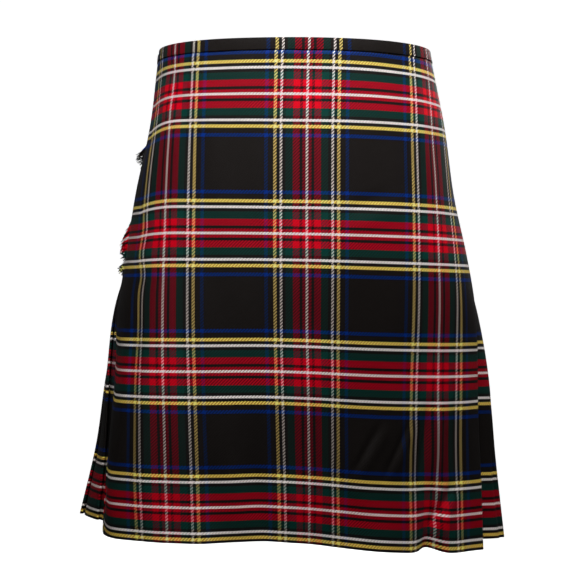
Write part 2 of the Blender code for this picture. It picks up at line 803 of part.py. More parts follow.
def strap(closure, material, root):
    """The strap: root path first, then under the outer bar, up over the heel bar and on to its point."""
    resting = BAND_PROUD + LEATHER_GAP + STRAP_THICKNESS / 2
    heel_lift = heel_bar_lift()
    top = heel_lift + tab_loop() + TAB_THICKNESS / 2 + LEATHER_GAP + STRAP_THICKNESS / 2
    over_tab = BAND_PROUD + 2 * LEATHER_GAP + 2 * TAB_THICKNESS + LEATHER_GAP + STRAP_THICKNESS / 2
    levels = {"resting": resting, "over_tab": over_tab, "top": top}

    def laid(rows):
        places = []
        for row in rows:
            place = dict(zip(STRAP_FIELDS, row))
            low, high = levels[place["low"]], levels[place["high"]]
            places.append((place["along"], low + (high - low) * place["risen"]))
        return places

    lead = in_steps(root + laid(STRAP_LEAD), STRAP_STEP)
    tail = in_steps(laid(STRAP_TAIL), STRAP_STEP)
    path = lead + tail
    heights = []
    middle = -CLOSURE_DROP
    for place, (along, lift) in enumerate(path):
        half = STRAP_WIDTH / 2
        if place == len(path) - 1:
            half = STRAP_WIDTH * STRAP_POINT
        slot = min(PRONG_SLOT / 2, half * STRAP_POINT_SLOT)
        heights.append((middle + half, middle + slot, middle - slot, middle - half))
    return closure.ribbon("strap", material, path, heights, STRAP_THICKNESS, {(len(lead) - 1, 1)})


def heel_bar_lift():
    return BAND_PROUD + LEATHER_GAP + TAB_THICKNESS / 2 + tab_loop()


def tab_loop():
    """The radius of the tab's middle round the heel bar."""
    return BUCKLE_ROD + 0.0002 + TAB_THICKNESS / 2


def tab(closure, material):
    """The short tab that holds the buckle: sewn flat behind it, looped round the heel bar, and back."""
    bar = heel_bar_lift()
    loop = tab_loop()
    low = bar - loop
    path = [(BUCKLE_LENGTH + 0.0300, low), (BUCKLE_LENGTH + 0.0150, low), (BUCKLE_LENGTH + 0.0040, low)]
    turns = 6
    for turn in range(turns + 1):
        angle = -math.pi / 2 - math.pi * turn / turns
        path.append((BUCKLE_LENGTH + loop * math.cos(angle), bar + loop * math.sin(angle)))
    path += [
        (BUCKLE_LENGTH + 0.0030, bar + loop),
        (BUCKLE_LENGTH + 0.0200, low + TAB_THICKNESS + LEATHER_GAP),
        (BUCKLE_LENGTH + 0.0280, low + TAB_THICKNESS + LEATHER_GAP),
    ]
    middle = -CLOSURE_DROP
    half = TAB_WIDTH / 2
    level = (middle + half, middle + PRONG_SLOT / 2, middle - PRONG_SLOT / 2, middle - half)
    holes = {(column, 1) for column in range(2, 2 + turns + 2)}
    return closure.ribbon("buckle_tab", material, path, [level] * len(path), TAB_THICKNESS, holes)


def buckle(closure, material):
    """The rectangular frame: outer bar, two sides and the heel bar."""
    bar = heel_bar_lift()
    outer = BAND_PROUD + LEATHER_GAP + STRAP_THICKNESS + LEATHER_GAP + BUCKLE_ROD
    half = BUCKLE_OPENING / 2 + BUCKLE_ROD
    middle = -CLOSURE_DROP
    corners = ((0.0, half), (BUCKLE_LENGTH, half), (BUCKLE_LENGTH, -half), (0.0, -half))
    centres = []
    for index, (along, height) in enumerate(corners):
        inner_along = along + (BUCKLE_CORNER if along == 0.0 else -BUCKLE_CORNER)
        inner_height = height - math.copysign(BUCKLE_CORNER, height)
        start_angle = math.pi - index * math.pi / 2
        for step in range(4):
            angle = start_angle - step * math.pi / 6
            spot_along = inner_along + BUCKLE_CORNER * math.cos(angle)
            spot_height = inner_height + BUCKLE_CORNER * math.sin(angle)
            share = spot_along / BUCKLE_LENGTH
            lift = outer + (bar - outer) * share
            centres.append(closure.spot(spot_along, lift, middle + spot_height))
    solid = Solid()
    solid.tube(centres, BUCKLE_ROD, 8, closed=True)
    return solid.build("buckle_" + closure.name, material)


def prong(closure, material):
    """The prong, from just ahead of the heel bar, up through the strap, to rest on the outer bar."""
    bar = heel_bar_lift()
    outer = BAND_PROUD + LEATHER_GAP + STRAP_THICKNESS + LEATHER_GAP + 2 * BUCKLE_ROD
    rest = outer + 0.0002 + PRONG_ROD
    start = BUCKLE_LENGTH - BUCKLE_ROD - 0.0002 - PRONG_ROD
    middle = -CLOSURE_DROP
    rise = rest - bar
    places = [(start, bar)]
    places += [(along, bar + rise * risen) for along, risen in PRONG_PATH]
    centres = [closure.spot(along, lift, middle) for along, lift in places]
    solid = Solid()
    solid.tube(centres, PRONG_ROD, 6)
    return solid.build("prong_" + closure.name, material)


def right_root(closure):
    """The strap sewn on the over apron's edge, stepping down past it onto the pleats' waistband."""
    front = apron_outline(CLOSURE_DROP)
    edge_distance = front.distance_at_x(APRON_CENTRE_X) - APRON_REACH_RIGHT
    edge_bearing = Outline.bearing_of(front.spot(edge_distance))
    edge = closure.zero - closure.outline.distance_at_bearing(edge_bearing)
    resting = BAND_PROUD + LEATHER_GAP + STRAP_THICKNESS / 2
    path = []
    for back in (APRON_REACH_RIGHT - STRAP_ROOT_RIGHT, 0.012, 0.005, -0.001):
        point = front.spot(edge_distance + back)
        apart = gap_between(closure.outline, point)
        along = closure.zero - closure.outline.distance_at_bearing(Outline.bearing_of(point))
        path.append((along, apart + resting))
    path.append((edge + 0.016, resting + 0.0006))
    path.append((edge + 0.026, resting))
    path.append((-0.006, resting))
    return path


def gap_between(outline, point):
    """How far outside the outline this point is."""
    near = outline.spot(outline.distance_at_bearing(Outline.bearing_of(point)))
    return math.dist(near, point)


def left_root(closure):
    """The strap sewn on the under apron's waistband, coming out through the slot in the waistband."""
    outline = closure.outline
    under_end = outline.distance_at_bearing(UNDER_BAND_END_BEARING) - closure.zero
    slot = outline.distance_at_bearing(SLOT_BEARING) - closure.zero
    inside = -(UNDER_APRON_INSET + CLOTH / 2 - BAND_THICKNESS / 2 - LEATHER_GAP - STRAP_THICKNESS / 2)
    resting = BAND_PROUD + LEATHER_GAP + STRAP_THICKNESS / 2
    wall_middle = BAND_PROUD - BAND_THICKNESS / 2
    return [
        (under_end - 0.022, inside),
        (under_end, inside),
        (slot - 0.0140, wall_middle - 0.0048),
        (slot - 0.0070, wall_middle - 0.0038),
        (slot + 0.0050, wall_middle + 0.0032),
        (slot + 0.0110, resting),
        (-0.006, resting),
    ]


def closures(leather, metal):
    """The outer strap and buckle on the wearer's right, and the inner apron's on the wearer's left."""
    right = Closure("right", RIGHT_BUCKLE_BEARING, -1)
    left = Closure("left", LEFT_BUCKLE_BEARING, 1)
    for closure, root in ((right, right_root(right)), (left, left_root(left))):
        strap(closure, leather, root)
        tab(closure, leather)
        buckle(closure, metal)
        prong(closure, metal)


def scene_materials():
    """One plain material for each slot, by its name."""
    made = {}
    for row in FINISHES:
        finish = dict(zip(FINISH_FIELDS, row))
        name = finish["name"]
        material = bpy.data.materials.new(name)
        material.use_nodes = True
        shader = material.node_tree.nodes["Principled BSDF"]
        shader.inputs["Base Color"].default_value = (*finish["colour"], 1.0)
        shader.inputs["Roughness"].default_value = finish["roughness"]
        shader.inputs["Metallic"].default_value = finish["metallic"]
        made[name] = material
    return made


def main():
    for old in list(bpy.data.objects):
        bpy.data.objects.remove(old, do_unlink=True)
    materials = scene_materials()
    over_apron(materials["cloth"])
    first = 0
    for name, count in zip(GROUP_NAMES, PLEATS_IN_GROUP):
        pleat_group("pleats_" + name, materials["cloth"], first, count)
        first += count
    under_apron(materials["cloth"])
    band_front(materials["band"])
    band_back(materials["band"])
    band_under(materials["band"])
    fringe(materials["fringe"])
    closures(materials["leather"], materials["metal"])


main()
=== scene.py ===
"""How the kilt looks: fine cloth shells with a woven tartan, a yarn fringe, leather straps and buckles.

The shells follow the solids' outlines, with rounded folds and soft creases. Each carries the tartan's own
coordinates, so the stripes have their woven sizes. Metres, +Z up, the front faces -Y, and the origin is
the middle of the waist opening. A drop is a distance below it. Right and left are the wearer's, and a
distance across the front grows towards the left.
"""

import bisect
import math

import bpy
import numpy as np
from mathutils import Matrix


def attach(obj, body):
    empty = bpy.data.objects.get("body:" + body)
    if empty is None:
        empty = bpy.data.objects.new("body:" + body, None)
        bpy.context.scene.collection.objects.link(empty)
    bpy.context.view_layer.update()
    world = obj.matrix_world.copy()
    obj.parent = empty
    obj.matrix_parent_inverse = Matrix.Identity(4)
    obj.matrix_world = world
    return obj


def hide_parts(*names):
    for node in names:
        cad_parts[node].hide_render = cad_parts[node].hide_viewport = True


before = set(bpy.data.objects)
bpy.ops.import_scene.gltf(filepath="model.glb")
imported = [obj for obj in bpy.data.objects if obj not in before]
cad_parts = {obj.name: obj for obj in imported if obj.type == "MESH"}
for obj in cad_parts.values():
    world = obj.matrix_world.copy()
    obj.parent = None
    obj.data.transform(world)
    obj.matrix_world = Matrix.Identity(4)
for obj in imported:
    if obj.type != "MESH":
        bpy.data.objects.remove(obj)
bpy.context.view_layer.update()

# ---- sizes shared with the solids ----

LENGTH = 0.610
BAND_HEIGHT = 0.0155
SEAM = 0.0003
CLOTH = 0.0013
BAND_THICKNESS = 0.0026

PLEATS = 24
PLEATS_IN_GROUP = (5, 5, 4, 5, 5)
GROUP_NAMES = ("left_side", "left_back", "centre_back", "right_back", "right_side")
UNDERLAP = 0.95
LAYER_STEP_AT_WAIST = 0.0019
LAYER_STEP_AT_HEM = 0.0027
LAYERS_IN_STACK = 3.9

APRON_CENTRE_X = 0.0145
APRON_REACH_RIGHT = 0.285
APRON_REACH_LEFT = 0.256
DEEP_FOLD_RETURN = 0.055
UNDER_APRON_INSET = 0.0085
UNDER_APRON_SHORTER = 0.006
UNDER_END_BEARING = 76.0

SKIRT_DIP = 0.0036
SKIRT_DIP_SLOPE = 0.067
DIP_GROWTH = 2.5

FRINGE_STRIP = 0.004

SLOT_LENGTH = 0.0115
SLOT_BEARING = 108.0
BAND_PROUD = 0.0007
BAND_EASE = 0.035
BAND_SQUARE_END = 0.004
BAND_MIDDLE = BAND_THICKNESS / 2 - BAND_PROUD

# The over apron's outline: its foremost point, its widest points, and how square its front corners are.
APRON_OUTLINES = (
    ("drop", "front_x", "front_y", "right_x", "right_y", "right_square", "left_x", "left_y", "left_square"),
    (0.000, 0.000, -0.130, -0.174, -0.004, 2.35, 0.175, 0.000, 2.10),
    (0.090, -0.012, -0.133, -0.184, -0.012, 2.45, 0.193, -0.002, 2.12),
    (0.180, -0.026, -0.137, -0.202, -0.014, 2.55, 0.205, 0.000, 2.20),
    (0.260, -0.040, -0.140, -0.2145, -0.020, 2.50, 0.223, 0.002, 2.10),
    (0.333, -0.068, -0.142, -0.2240, -0.036, 2.46, 0.238, 0.002, 1.85),
    (0.430, -0.083, -0.145, -0.2260, -0.068, 2.40, 0.242, 0.000, 1.50),
    (0.515, -0.090, -0.149, -0.2330, -0.088, 2.33, 0.246, 0.000, 1.32),
    (0.610, -0.100, -0.154, -0.239, -0.086, 2.26, 0.251, 0.000, 1.18),
)

# The same for the pleats and the under apron, and how far back they reach.
SKIRT_OUTLINES = (
    (*APRON_OUTLINES[0], "back_y"),
    (0.000, 0.000, -0.1255, -0.1690, 0.002, 2.30, 0.1705, 0.004, 2.05, 0.124),
    (0.090, -0.012, -0.1285, -0.1790, 0.000, 2.35, 0.1885, 0.004, 2.05, 0.138),
    (0.180, -0.026, -0.1325, -0.1970, 0.000, 2.40, 0.2005, 0.006, 2.10, 0.151),
    (0.260, -0.040, -0.1355, -0.2125, 0.002, 2.35, 0.2175, 0.010, 2.00, 0.157),
    (0.333, -0.068, -0.1375, -0.2335, 0.012, 1.92, 0.2390, 0.014, 1.75, 0.161),
    (0.430, -0.083, -0.1405, -0.2470, 0.008, 1.82, 0.2585, 0.022, 1.45, 0.166),
    (0.515, -0.090, -0.1445, -0.2570, 0.000, 1.66, 0.2670, 0.030, 1.30, 0.170),
    (0.610, -0.100, -0.1495, -0.2765, -0.010, 1.50, 0.2790, 0.040, 1.35, 0.175),
)
BACK_SQUARE = 2.25

# The deep fold's bearing and the last pleat's, in degrees from the front by the left.
FOLD_BEARINGS = (
    ("drop", "deep_fold", "last_pleat"),
    (0.000, 96.0, 266.5),
    (0.090, 92.5, 268.0),
    (0.180, 88.0, 271.0),
    (0.260, 85.0, 274.0),
    (0.333, 84.5, 276.0),
    (0.430, 86.0, 284.0),
    (0.515, 87.0, 287.5),
    (0.610, 87.5, 290.5),
)

# How far each pleat's edge swings along the hem.
PLEAT_SWINGS = (
    ("edge", "swing"),
    (0, 0.000),
    (1, 0.013),
    (2, 0.008),
    (3, 0.003),
    (4, 0.000),
    (18, 0.000),
    (19, -0.004),
    (20, -0.009),
    (21, -0.014),
    (22, -0.019),
    (23, 0.003),
    (24, 0.000),
)

# How far the over apron's hem dips along its width.
HEM_DIPS = (
    ("from_centre", "dip"),
    (-0.285, 0.0005),
    (-0.150, 0.0045),
    (-0.060, 0.0040),
    (0.000, 0.0095),
    (0.066, 0.0200),
    (0.110, 0.0255),
    (0.160, 0.0300),
    (0.200, 0.0325),
    (0.256, 0.0322),
)

# The long folds in the front, which grow down to the hem from where each fades out.
CREASES = (
    ("across", "half_width", "inward", "fades_at", "lift"),
    (0.1725, 0.0145, 0.012, 0.480, 0.0065),
    (0.118, 0.026, -0.005, 0.400, 0.0000),
    (0.212, 0.018, -0.003, 0.440, 0.0000),
    (-0.070, 0.035, 0.003, 0.380, 0.0000),
    (-0.150, 0.028, -0.003, 0.360, 0.0000),
)

# ---- the looks' own sizes ----

# How finely each shell is laid; a pleat's columns are given for each of its parts.
CURVE_STEPS = 110
APRON_COLUMNS = 250
APRON_ROWS = 170
FOLD_COLUMNS = 7
RETURN_COLUMNS = 14
PLEAT_ROWS = 60
PLEAT_COLUMNS = {"under": 6, "far": 5, "near": 7, "edge": 7, "lap": 8, "turn": 5}
UNDER_APRON_COLUMNS = 90
BAND_FRONT_COLUMNS = 160
BAND_BACK_COLUMNS = 150
BAND_UNDER_COLUMNS = 110
SLOT_COLUMN = 6
ROLL_ROWS = 4

CLOTH_LOOK = 0.0011
BAND_LOOK = 0.0024
BAND_EDGE_SHARE = 0.25
SHARP_ANGLE = 55.0
HEADING_REACH = 0.004

# The strip turned in over the pleats' tops, measured inwards from the middle of the waistband's wall.
TURNING_ROWS = 3
TURNING_STARTS = 0.0008
TURNING_ENDS = 0.0080
TURNING_DROP = 0.0150
TURNING_THICKNESS = 0.0008

# Where each piece starts on the cloth's length, how much of it each pleat shows, and the share of the under
# apron's width over which it eases out.
PLEAT_SHOWS = 0.0245
PLEAT_FIRST_ACROSS = 0.285
UNDER_APRON_ACROSS = 0.040
UNDER_APRON_EASES_OVER = 0.25
BAND_FRONT_ACROSS = -APRON_REACH_RIGHT - 0.002

# How the cloth turns in under the waistband, and its extra rows below the seam.
SEAM_TUCK = 0.0010
SEAM_TUCK_HEIGHT = 0.0028
SEAM_ROWS = (0.0, 0.0009, 0.0018)
PLEAT_TUCK_SHARE = 0.5
ROUNDED_EDGE = 0.0013

# How far the deep fold bulges, and the cloth that each of its columns takes.
DEEP_FOLD_BULGE = 0.0007
DEEP_FOLD_CLOTH = 0.0004

# The folds' rounding in layers, the cloth that each takes, and the layers halfway across a pleat.
FOLD_ROUNDNESS = 0.30
FOLD_CLOTH = 0.003
HALFWAY_LAYERS = 0.95
LAST_LAP_SHARE = 0.88

# The pleats' sway at the hem, and how it turns.
SWAY = 0.0006
SWAY_PER_PLEAT = 2.3
SWAY_PER_METRE = 11

# The front waistband's waves, and how they turn.
BAND_WAVE = 0.0002
BAND_WAVE_PER_COLUMN = 0.21
BAND_WAVE_PER_METRE = 90

# The cloth's unevenness: its size at the waist, what the hem adds, and its waves, each with its strength,
# how it turns across and down, and where it starts.
RIPPLE_AT_WAIST = 0.00035
RIPPLE_TO_HEM = 0.0010
RIPPLES = (
    (1.0, 61, 9, 0.6),
    (0.6, 113, -23, 2.1),
    (0.5, 29, 47, 4.0),
)

WARP_REPEAT = 0.178
WEFT_REPEAT = 0.168
FIRST_WEFT_CENTRE = 0.0655
BAND_WEFT_AT_TOP = -0.0262

# The cloth starts above the seam and eases over the hips.
WEFT_LEAD = 0.006
WEFT_EASE = 0.072
HIP_DROP = 0.24

# The twill: how much weft shows, how far that swings, the diagonals' spacing along the yarns, and how far
# they shift the stripes' edges.
WEFT_SHARE = 0.62
TWILL_SHOWS = 0.27
TWILL_PITCH = 0.0040
TWILL_JITTER = 0.00022
YARN_PITCH = 0.00055

# The weave's relief: the shares of the diagonals and of the single yarns, then its strength and depth.
DIAGONAL_RELIEF = 0.6
YARN_RELIEF = 0.4
WEAVE_BUMP = (0.35, 0.00018)

# The yarns' slubs and fuzz; each scale is to a metre.
SLUBS = 0.16
SLUB_SCALE = 900.0
FUZZ_SCALE = 2500.0

# A new ramp begins with two colours. The yarns fit it once divided by its ceiling, and the contrast then
# brings them down. Painted shade darkens them towards the hem, the warp's more than the weft's.
WEAVE_CONTRAST = 2.3
RAMP_CEILING = 2.05
RAMP_BEGINS_WITH = 2
WARP_AT_TOP = 1.02
WARP_PAINTED_SHADE_TO_HEM = 0.53
CLOTH_PAINTED_SHADE_TO_HEM = 0.25
PALEST_CLOTH = (0.95, 0.88, 0.855)
CLOTH_SURFACE = {
    "Roughness": 0.48,
    "Specular IOR Level": 0.08,
    "Sheen Weight": 0.005,
    "Sheen Roughness": 0.5,
}
NOISE_ROUGHNESS = 0.6

# Leather and nickel. A roughness is its least value and what the grain adds; a bump, strength and depth.
LEATHER_BLACK = (0.010, 0.009, 0.009)
LEATHER_WORN = (0.045, 0.036, 0.030)
LEATHER_SCUFFS = 0.55
LEATHER_SCUFF_SCALE = 120.0
LEATHER_GRAIN_SCALE = 900.0
LEATHER_ROUGHNESS = (0.32, 0.25)
LEATHER_BUMP = (0.4, 0.0003)
NICKEL = (0.74, 0.73, 0.70)
NICKEL_BRUSH_SCALE = 300.0
NICKEL_ROUGHNESS = (0.14, 0.18)

# Half of the tartan's repeat, from its centre line outwards: where each stripe ends, and its colour. The
# centre line is white yarn, tinted by the red beside it.
SETT = (
    ("ends_at", "colour"),
    (0.0014, "centre"),
    (0.0053, "red"),
    (0.0088, "black"),
    (0.0168, "red"),
    (0.0258, "green"),
    (0.0300, "black"),
    (0.0332, "white"),
    (0.0368, "black"),
    (0.0408, "yellow"),
    (0.0474, "black"),
    (0.0518, "blue"),
    (0.1000, "black"),
)
SETT_WIDTH = SETT[-1][0]
YARNS = {
    "centre": (1.67, 1.51, 1.45),
    "white": (1.60, 1.50, 1.44),
    "red": (0.96, 0.020, 0.168),
    "black": (0.155, 0.140, 0.134),
    "green": (0.085, 0.295, 0.262),
    "yellow": (1.56, 1.33, 0.73),
    "blue": (0.035, 0.225, 0.585),
}
WEFT_YARNS = {
    **YARNS,
    "centre": (2.03, 1.63, 1.59),
    "white": (2.00, 1.90, 1.85),
    "yellow": (1.74, 1.28, 0.58),
}

# How far the warp stripes stand to the left of even.
WARP_SHIFTS = (
    ("drop", "shift"),
    (0.000, 0.0020),
    (0.050, 0.0013),
    (0.120, 0.0002),
    (0.330, 0.0002),
    (0.430, 0.0014),
    (0.520, 0.0030),
    (0.610, 0.0038),
)

# How far the weft stripes stand above even, towards the right and the left.
WEFT_SHIFTS = (
    ("drop", "right", "left"),
    (0.000, 0.0000, -0.0036),
    (0.050, 0.0012, -0.0030),
    (0.110, 0.0030, -0.0008),
    (0.240, 0.0016, -0.0008),
    (0.330, -0.0004, 0.0000),
    (0.610, 0.0000, 0.0000),
)
WEFT_SHIFT_SPAN = 0.170

# How many of its spans or widths a soft shift, pucker or crease still counts for.
SHIFT_LIMIT = 1.3
SOFT_LIMIT = 3

# How far the weft sags where the over apron turns back round the right.
EDGE_SAGS = (
    ("drop", "down"),
    (0.000, 0.0005),
    (0.050, 0.0036),
    (0.085, 0.0055),
    (0.110, 0.0070),
    (0.170, 0.0056),
    (0.240, 0.0030),
    (0.300, 0.0000),
)
SAG_STARTS = 0.160
SAG_SPAN = 0.050

# How far the weft curls up at the over apron's free edge.
EDGE_CURLS = (
    ("drop", "up"),
    (0.000, 0.0000),
    (0.330, 0.0000),
    (0.400, 0.0080),
    (0.560, 0.0095),
    (0.610, 0.0060),
)
CURL_STARTS = 0.250

# Where the cloth puckers beside the free edge and carries the warp sideways: to the left above 0.
PUCKERS = (
    ("from_centre", "drop", "half_width", "half_height", "sideways"),
    (-0.208, 0.231, 0.020, 0.013, 0.0020),
    (-0.216, 0.262, 0.020, 0.013, -0.0026),
    (-0.213, 0.291, 0.020, 0.014, 0.0038),
    (-0.215, 0.360, 0.025, 0.030, 0.0018),
    (-0.190, 0.030, 0.016, 0.014, 0.0024),
    (-0.185, 0.085, 0.016, 0.020, -0.0020),
)

# Soft creases on the front, each a straight stretch between two places. Each fades past its ends.
CREASE_RUNS_ON = 0.5
CREASE_TAPER = 0.9
FRONT_CREASES = (
    ("from_centre", "from_drop", "to_centre", "to_drop", "half_width", "inward"),
    (0.095, 0.466, 0.062, 0.520, 0.0042, 0.0026),
    (0.106, 0.468, 0.074, 0.521, 0.0070, -0.0020),
    (0.136, 0.464, 0.104, 0.524, 0.0042, 0.0028),
    (0.148, 0.462, 0.117, 0.518, 0.0070, -0.0018),
    (0.168, 0.436, 0.154, 0.530, 0.0065, 0.0036),
    (0.186, 0.440, 0.177, 0.520, 0.0090, -0.0020),
    (0.202, 0.536, 0.172, 0.584, 0.0060, 0.0042),
    (0.214, 0.540, 0.186, 0.590, 0.0080, -0.0016),
    (0.020, 0.500, 0.080, 0.600, 0.016, 0.0020),
    (-0.125, 0.520, -0.118, 0.620, 0.011, 0.0020),
    (-0.092, 0.510, -0.088, 0.620, 0.012, -0.0020),
    (-0.060, 0.530, -0.052, 0.620, 0.010, 0.0016),
    (0.045, 0.215, 0.100, 0.188, 0.009, 0.0012),
    (0.060, 0.232, 0.120, 0.205, 0.010, -0.0010),
    (-0.215, 0.300, -0.225, 0.560, 0.010, 0.0026),
    (-0.190, 0.260, -0.198, 0.520, 0.012, -0.0016),
    (0.205, 0.330, 0.215, 0.560, 0.012, 0.0022),
    (0.180, 0.300, 0.186, 0.480, 0.014, -0.0012),
    (-0.180, 0.030, -0.150, 0.120, 0.014, 0.0010),
    (0.190, 0.040, 0.170, 0.150, 0.015, 0.0010),
    (-0.020, 0.330, 0.060, 0.400, 0.022, 0.0014),
)


# ---- tables and curves, as in the solids ----


def named(table):
    """The rows below the table's header, with each value under its field's name."""
    fields, *rows = table
    return [dict(zip(fields, row)) for row in rows]


def row_at(table, key):
    """The table's row at this value of its first column, eased between the rows before and after it."""
    fields, *rows = table
    keys = [row[0] for row in rows]
    place = min(max(bisect.bisect_right(keys, key) - 1, 0), len(rows) - 2)
    before = rows[max(place - 1, 0)]
    above, below = rows[place], rows[place + 1]
    after = rows[min(place + 2, len(rows) - 1)]
    gap = below[0] - above[0]
    share = min(max((key - above[0]) / gap, 0.0), 1.0)
    values = {}
    for column, name in enumerate(fields):
        slope_above = gap * (below[column] - before[column]) / (below[0] - before[0])
        slope_below = gap * (after[column] - above[column]) / (after[0] - above[0])
        values[name] = (
            above[column] * (1 + 2 * share) * (1 - share) ** 2
            + slope_above * share * (1 - share) ** 2
            + below[column] * share**2 * (3 - 2 * share)
            + slope_below * share**2 * (share - 1)
        )
    return values


def corner(start, end, square):
    """A round corner from start, where it runs across, to end, where it runs fore and aft."""
    points = []
    for step in range(CURVE_STEPS + 1):
        angle = math.pi / 2 * step / CURVE_STEPS
        across = math.sin(angle) ** (2 / square)
        along = math.cos(angle) ** (2 / square)
        points.append((start[0] + (end[0] - start[0]) * across, end[1] + (start[1] - end[1]) * along))
    return points


def reaches(line):
    """How far along this line each of its points is."""
    reach = [0.0]
    for near, far in zip(line, line[1:]):
        reach.append(reach[-1] + math.dist(near, far))
    return reach


class Outline:
    """A closed outline seen from above, measured from its foremost point towards the wearer's left."""

    def __init__(self, row):
        front = (row["front_x"], row["front_y"])
        left = (row["left_x"], row["left_y"])
        right = (row["right_x"], row["right_y"])
        back = (0.0, row["back_y"])
        points = corner(front, left, row["left_square"])
        points += corner(back, left, BACK_SQUARE)[-2::-1]
        points += corner(back, right, BACK_SQUARE)[1:]
        points += corner(front, right, row["right_square"])[-2::-1]
        self.points = points
        self.reach = reaches(points)
        self.bearings = [self.bearing_of(point) for point in points]

    @staticmethod
    def bearing_of(point):
        """The point's bearing in degrees, from the front by the left."""
        return math.degrees(math.atan2(point[0], -point[1])) % 360.0

    @property
    def around(self):
        """How long the whole outline is."""
        return self.reach[-1]

    def spot(self, distance):
        """The point at this distance along the outline."""
        distance = distance % self.around
        step = min(max(bisect.bisect_right(self.reach, distance) - 1, 0), len(self.points) - 2)
        near, far = self.points[step], self.points[step + 1]
        span = max(self.reach[step + 1] - self.reach[step], 1e-9)
        share = (distance - self.reach[step]) / span
        return near[0] + (far[0] - near[0]) * share, near[1] + (far[1] - near[1]) * share

    def place(self, distance):
        """The point at this distance along the outline, and the direction straight in from it."""
        ahead = self.spot(distance + HEADING_REACH)
        behind = self.spot(distance - HEADING_REACH)
        length = math.dist(ahead, behind)
        return self.spot(distance), ((behind[1] - ahead[1]) / length, (ahead[0] - behind[0]) / length)

    def distance_at(self, wanted, values, steps):
        """How far along the outline these values, one at each point, pass the wanted one."""
        for step in steps:
            near, far = values[step], values[step + 1]
            if near <= wanted <= far:
                share = (wanted - near) / (far - near)
                return self.reach[step] + share * (self.reach[step + 1] - self.reach[step])
        return self.reach[steps[0]]

    def distance_at_x(self, across):
        """How far along the front the outline reaches this place across."""
        return self.distance_at(across, [point[0] for point in self.points], range(CURVE_STEPS))

    def distance_at_bearing(self, bearing):
        """How far along the outline this bearing is."""
        return self.distance_at(bearing, self.bearings, range(2, len(self.points) - 2))


def apron_outline(drop):
    """The over apron's outer face at this drop, closed round the back like the skirt."""
    row = row_at(APRON_OUTLINES, drop)
    row["back_y"] = row_at(SKIRT_OUTLINES, drop)["back_y"]
    return Outline(row)


def skirt_outline(drop):
    """The pleats' and the under apron's outer face at this drop."""
    return Outline(row_at(SKIRT_OUTLINES, drop))


def crease_push(across, drop):
    """How far the front's folds move the cloth in, and how far they lift it."""
    inward, lift = 0.0, 0.0
    for crease in named(CREASES):
        if drop <= crease["fades_at"]:
            continue
        depth = ((drop - crease["fades_at"]) / (LENGTH - crease["fades_at"])) ** 2
        spread = math.exp(-(((across - crease["across"]) / crease["half_width"]) ** 2))
        inward += crease["inward"] * depth * spread
        lift += crease["lift"] * depth * spread
    return inward, lift


def apron_dip(from_centre, drop):
    """How far below its drop the over apron hangs."""
    return row_at(HEM_DIPS, from_centre)["dip"] * (drop / LENGTH) ** DIP_GROWTH


def skirt_dip(across, drop):
    """How far below its drop the cloth under the apron hangs."""
    return (drop / LENGTH) ** 2 * (SKIRT_DIP + SKIRT_DIP_SLOPE * across)


def layer_step(drop):
    """How far in each layer of a pleat lies from the one outside it."""
    return LAYER_STEP_AT_WAIST + (LAYER_STEP_AT_HEM - LAYER_STEP_AT_WAIST) * (drop / LENGTH) ** 2


def inset(outline, distance, depth):
    """The place this deep inside the outline."""
    point, inwards = outline.place(distance)
    return point[0] + inwards[0] * depth, point[1] + inwards[1] * depth


def pleat_edges(outline, drop):
    """How far along the outline each pleat's folded edge is, starting at the deep fold."""
    row = row_at(FOLD_BEARINGS, drop)
    first = outline.distance_at_bearing(row["deep_fold"])
    last = outline.distance_at_bearing(row["last_pleat"])
    edges = []
    for edge in range(PLEATS + 1):
        swing = row_at(PLEAT_SWINGS, edge)["swing"] * (drop / LENGTH) ** 2
        edges.append(first + (last - first) * edge / PLEATS + swing)
    return edges


# ---- cloth ----


def weft_place(drop):
    """Where on the cloth's own length this drop lies."""
    return drop - WEFT_LEAD + WEFT_EASE * (drop - HIP_DROP) ** 2


def apron_weave(from_centre, drop):
    """The cloth's own place across and down, here on the over apron."""
    across = from_centre - row_at(WARP_SHIFTS, drop)["shift"]
    for pucker in named(PUCKERS):
        aside = (from_centre - pucker["from_centre"]) / pucker["half_width"]
        below = (drop - pucker["drop"]) / pucker["half_height"]
        if abs(aside) < SOFT_LIMIT and abs(below) < SOFT_LIMIT:
            across -= pucker["sideways"] * math.exp(-(aside**2) - below**2)
    row = row_at(WEFT_SHIFTS, drop)
    share = min(abs(from_centre) / WEFT_SHIFT_SPAN, SHIFT_LIMIT) ** 2
    shift = (row["left"] if from_centre > 0 else row["right"]) * share
    into_sag = max(-from_centre - SAG_STARTS, 0.0) / SAG_SPAN
    shift -= row_at(EDGE_SAGS, drop)["down"] * min(into_sag, SHIFT_LIMIT) ** 2
    into_curl = max(-from_centre - CURL_STARTS, 0.0) / (APRON_REACH_RIGHT - CURL_STARTS)
    shift += row_at(EDGE_CURLS, drop)["up"] * into_curl**2
    return across, weft_place(drop) + shift


def crease_depth(from_centre, drop):
    """How far the soft creases move the cloth inwards here."""
    inward = 0.0
    for crease in named(FRONT_CREASES):
        run_across = crease["to_centre"] - crease["from_centre"]
        run_down = crease["to_drop"] - crease["from_drop"]
        length = math.hypot(run_across, run_down)
        off_across = from_centre - crease["from_centre"]
        off_down = drop - crease["from_drop"]
        share = (off_across * run_across + off_down * run_down) / length**2
        aside = (off_across * run_down - off_down * run_across) / length
        if abs(aside) > SOFT_LIMIT * crease["half_width"] or not -CREASE_RUNS_ON < share < 1 + CREASE_RUNS_ON:
            continue
        fade = math.exp(-((2 * share - 1) ** 4) * CREASE_TAPER)
        inward += crease["inward"] * math.exp(-((aside / crease["half_width"]) ** 2)) * fade
    return inward


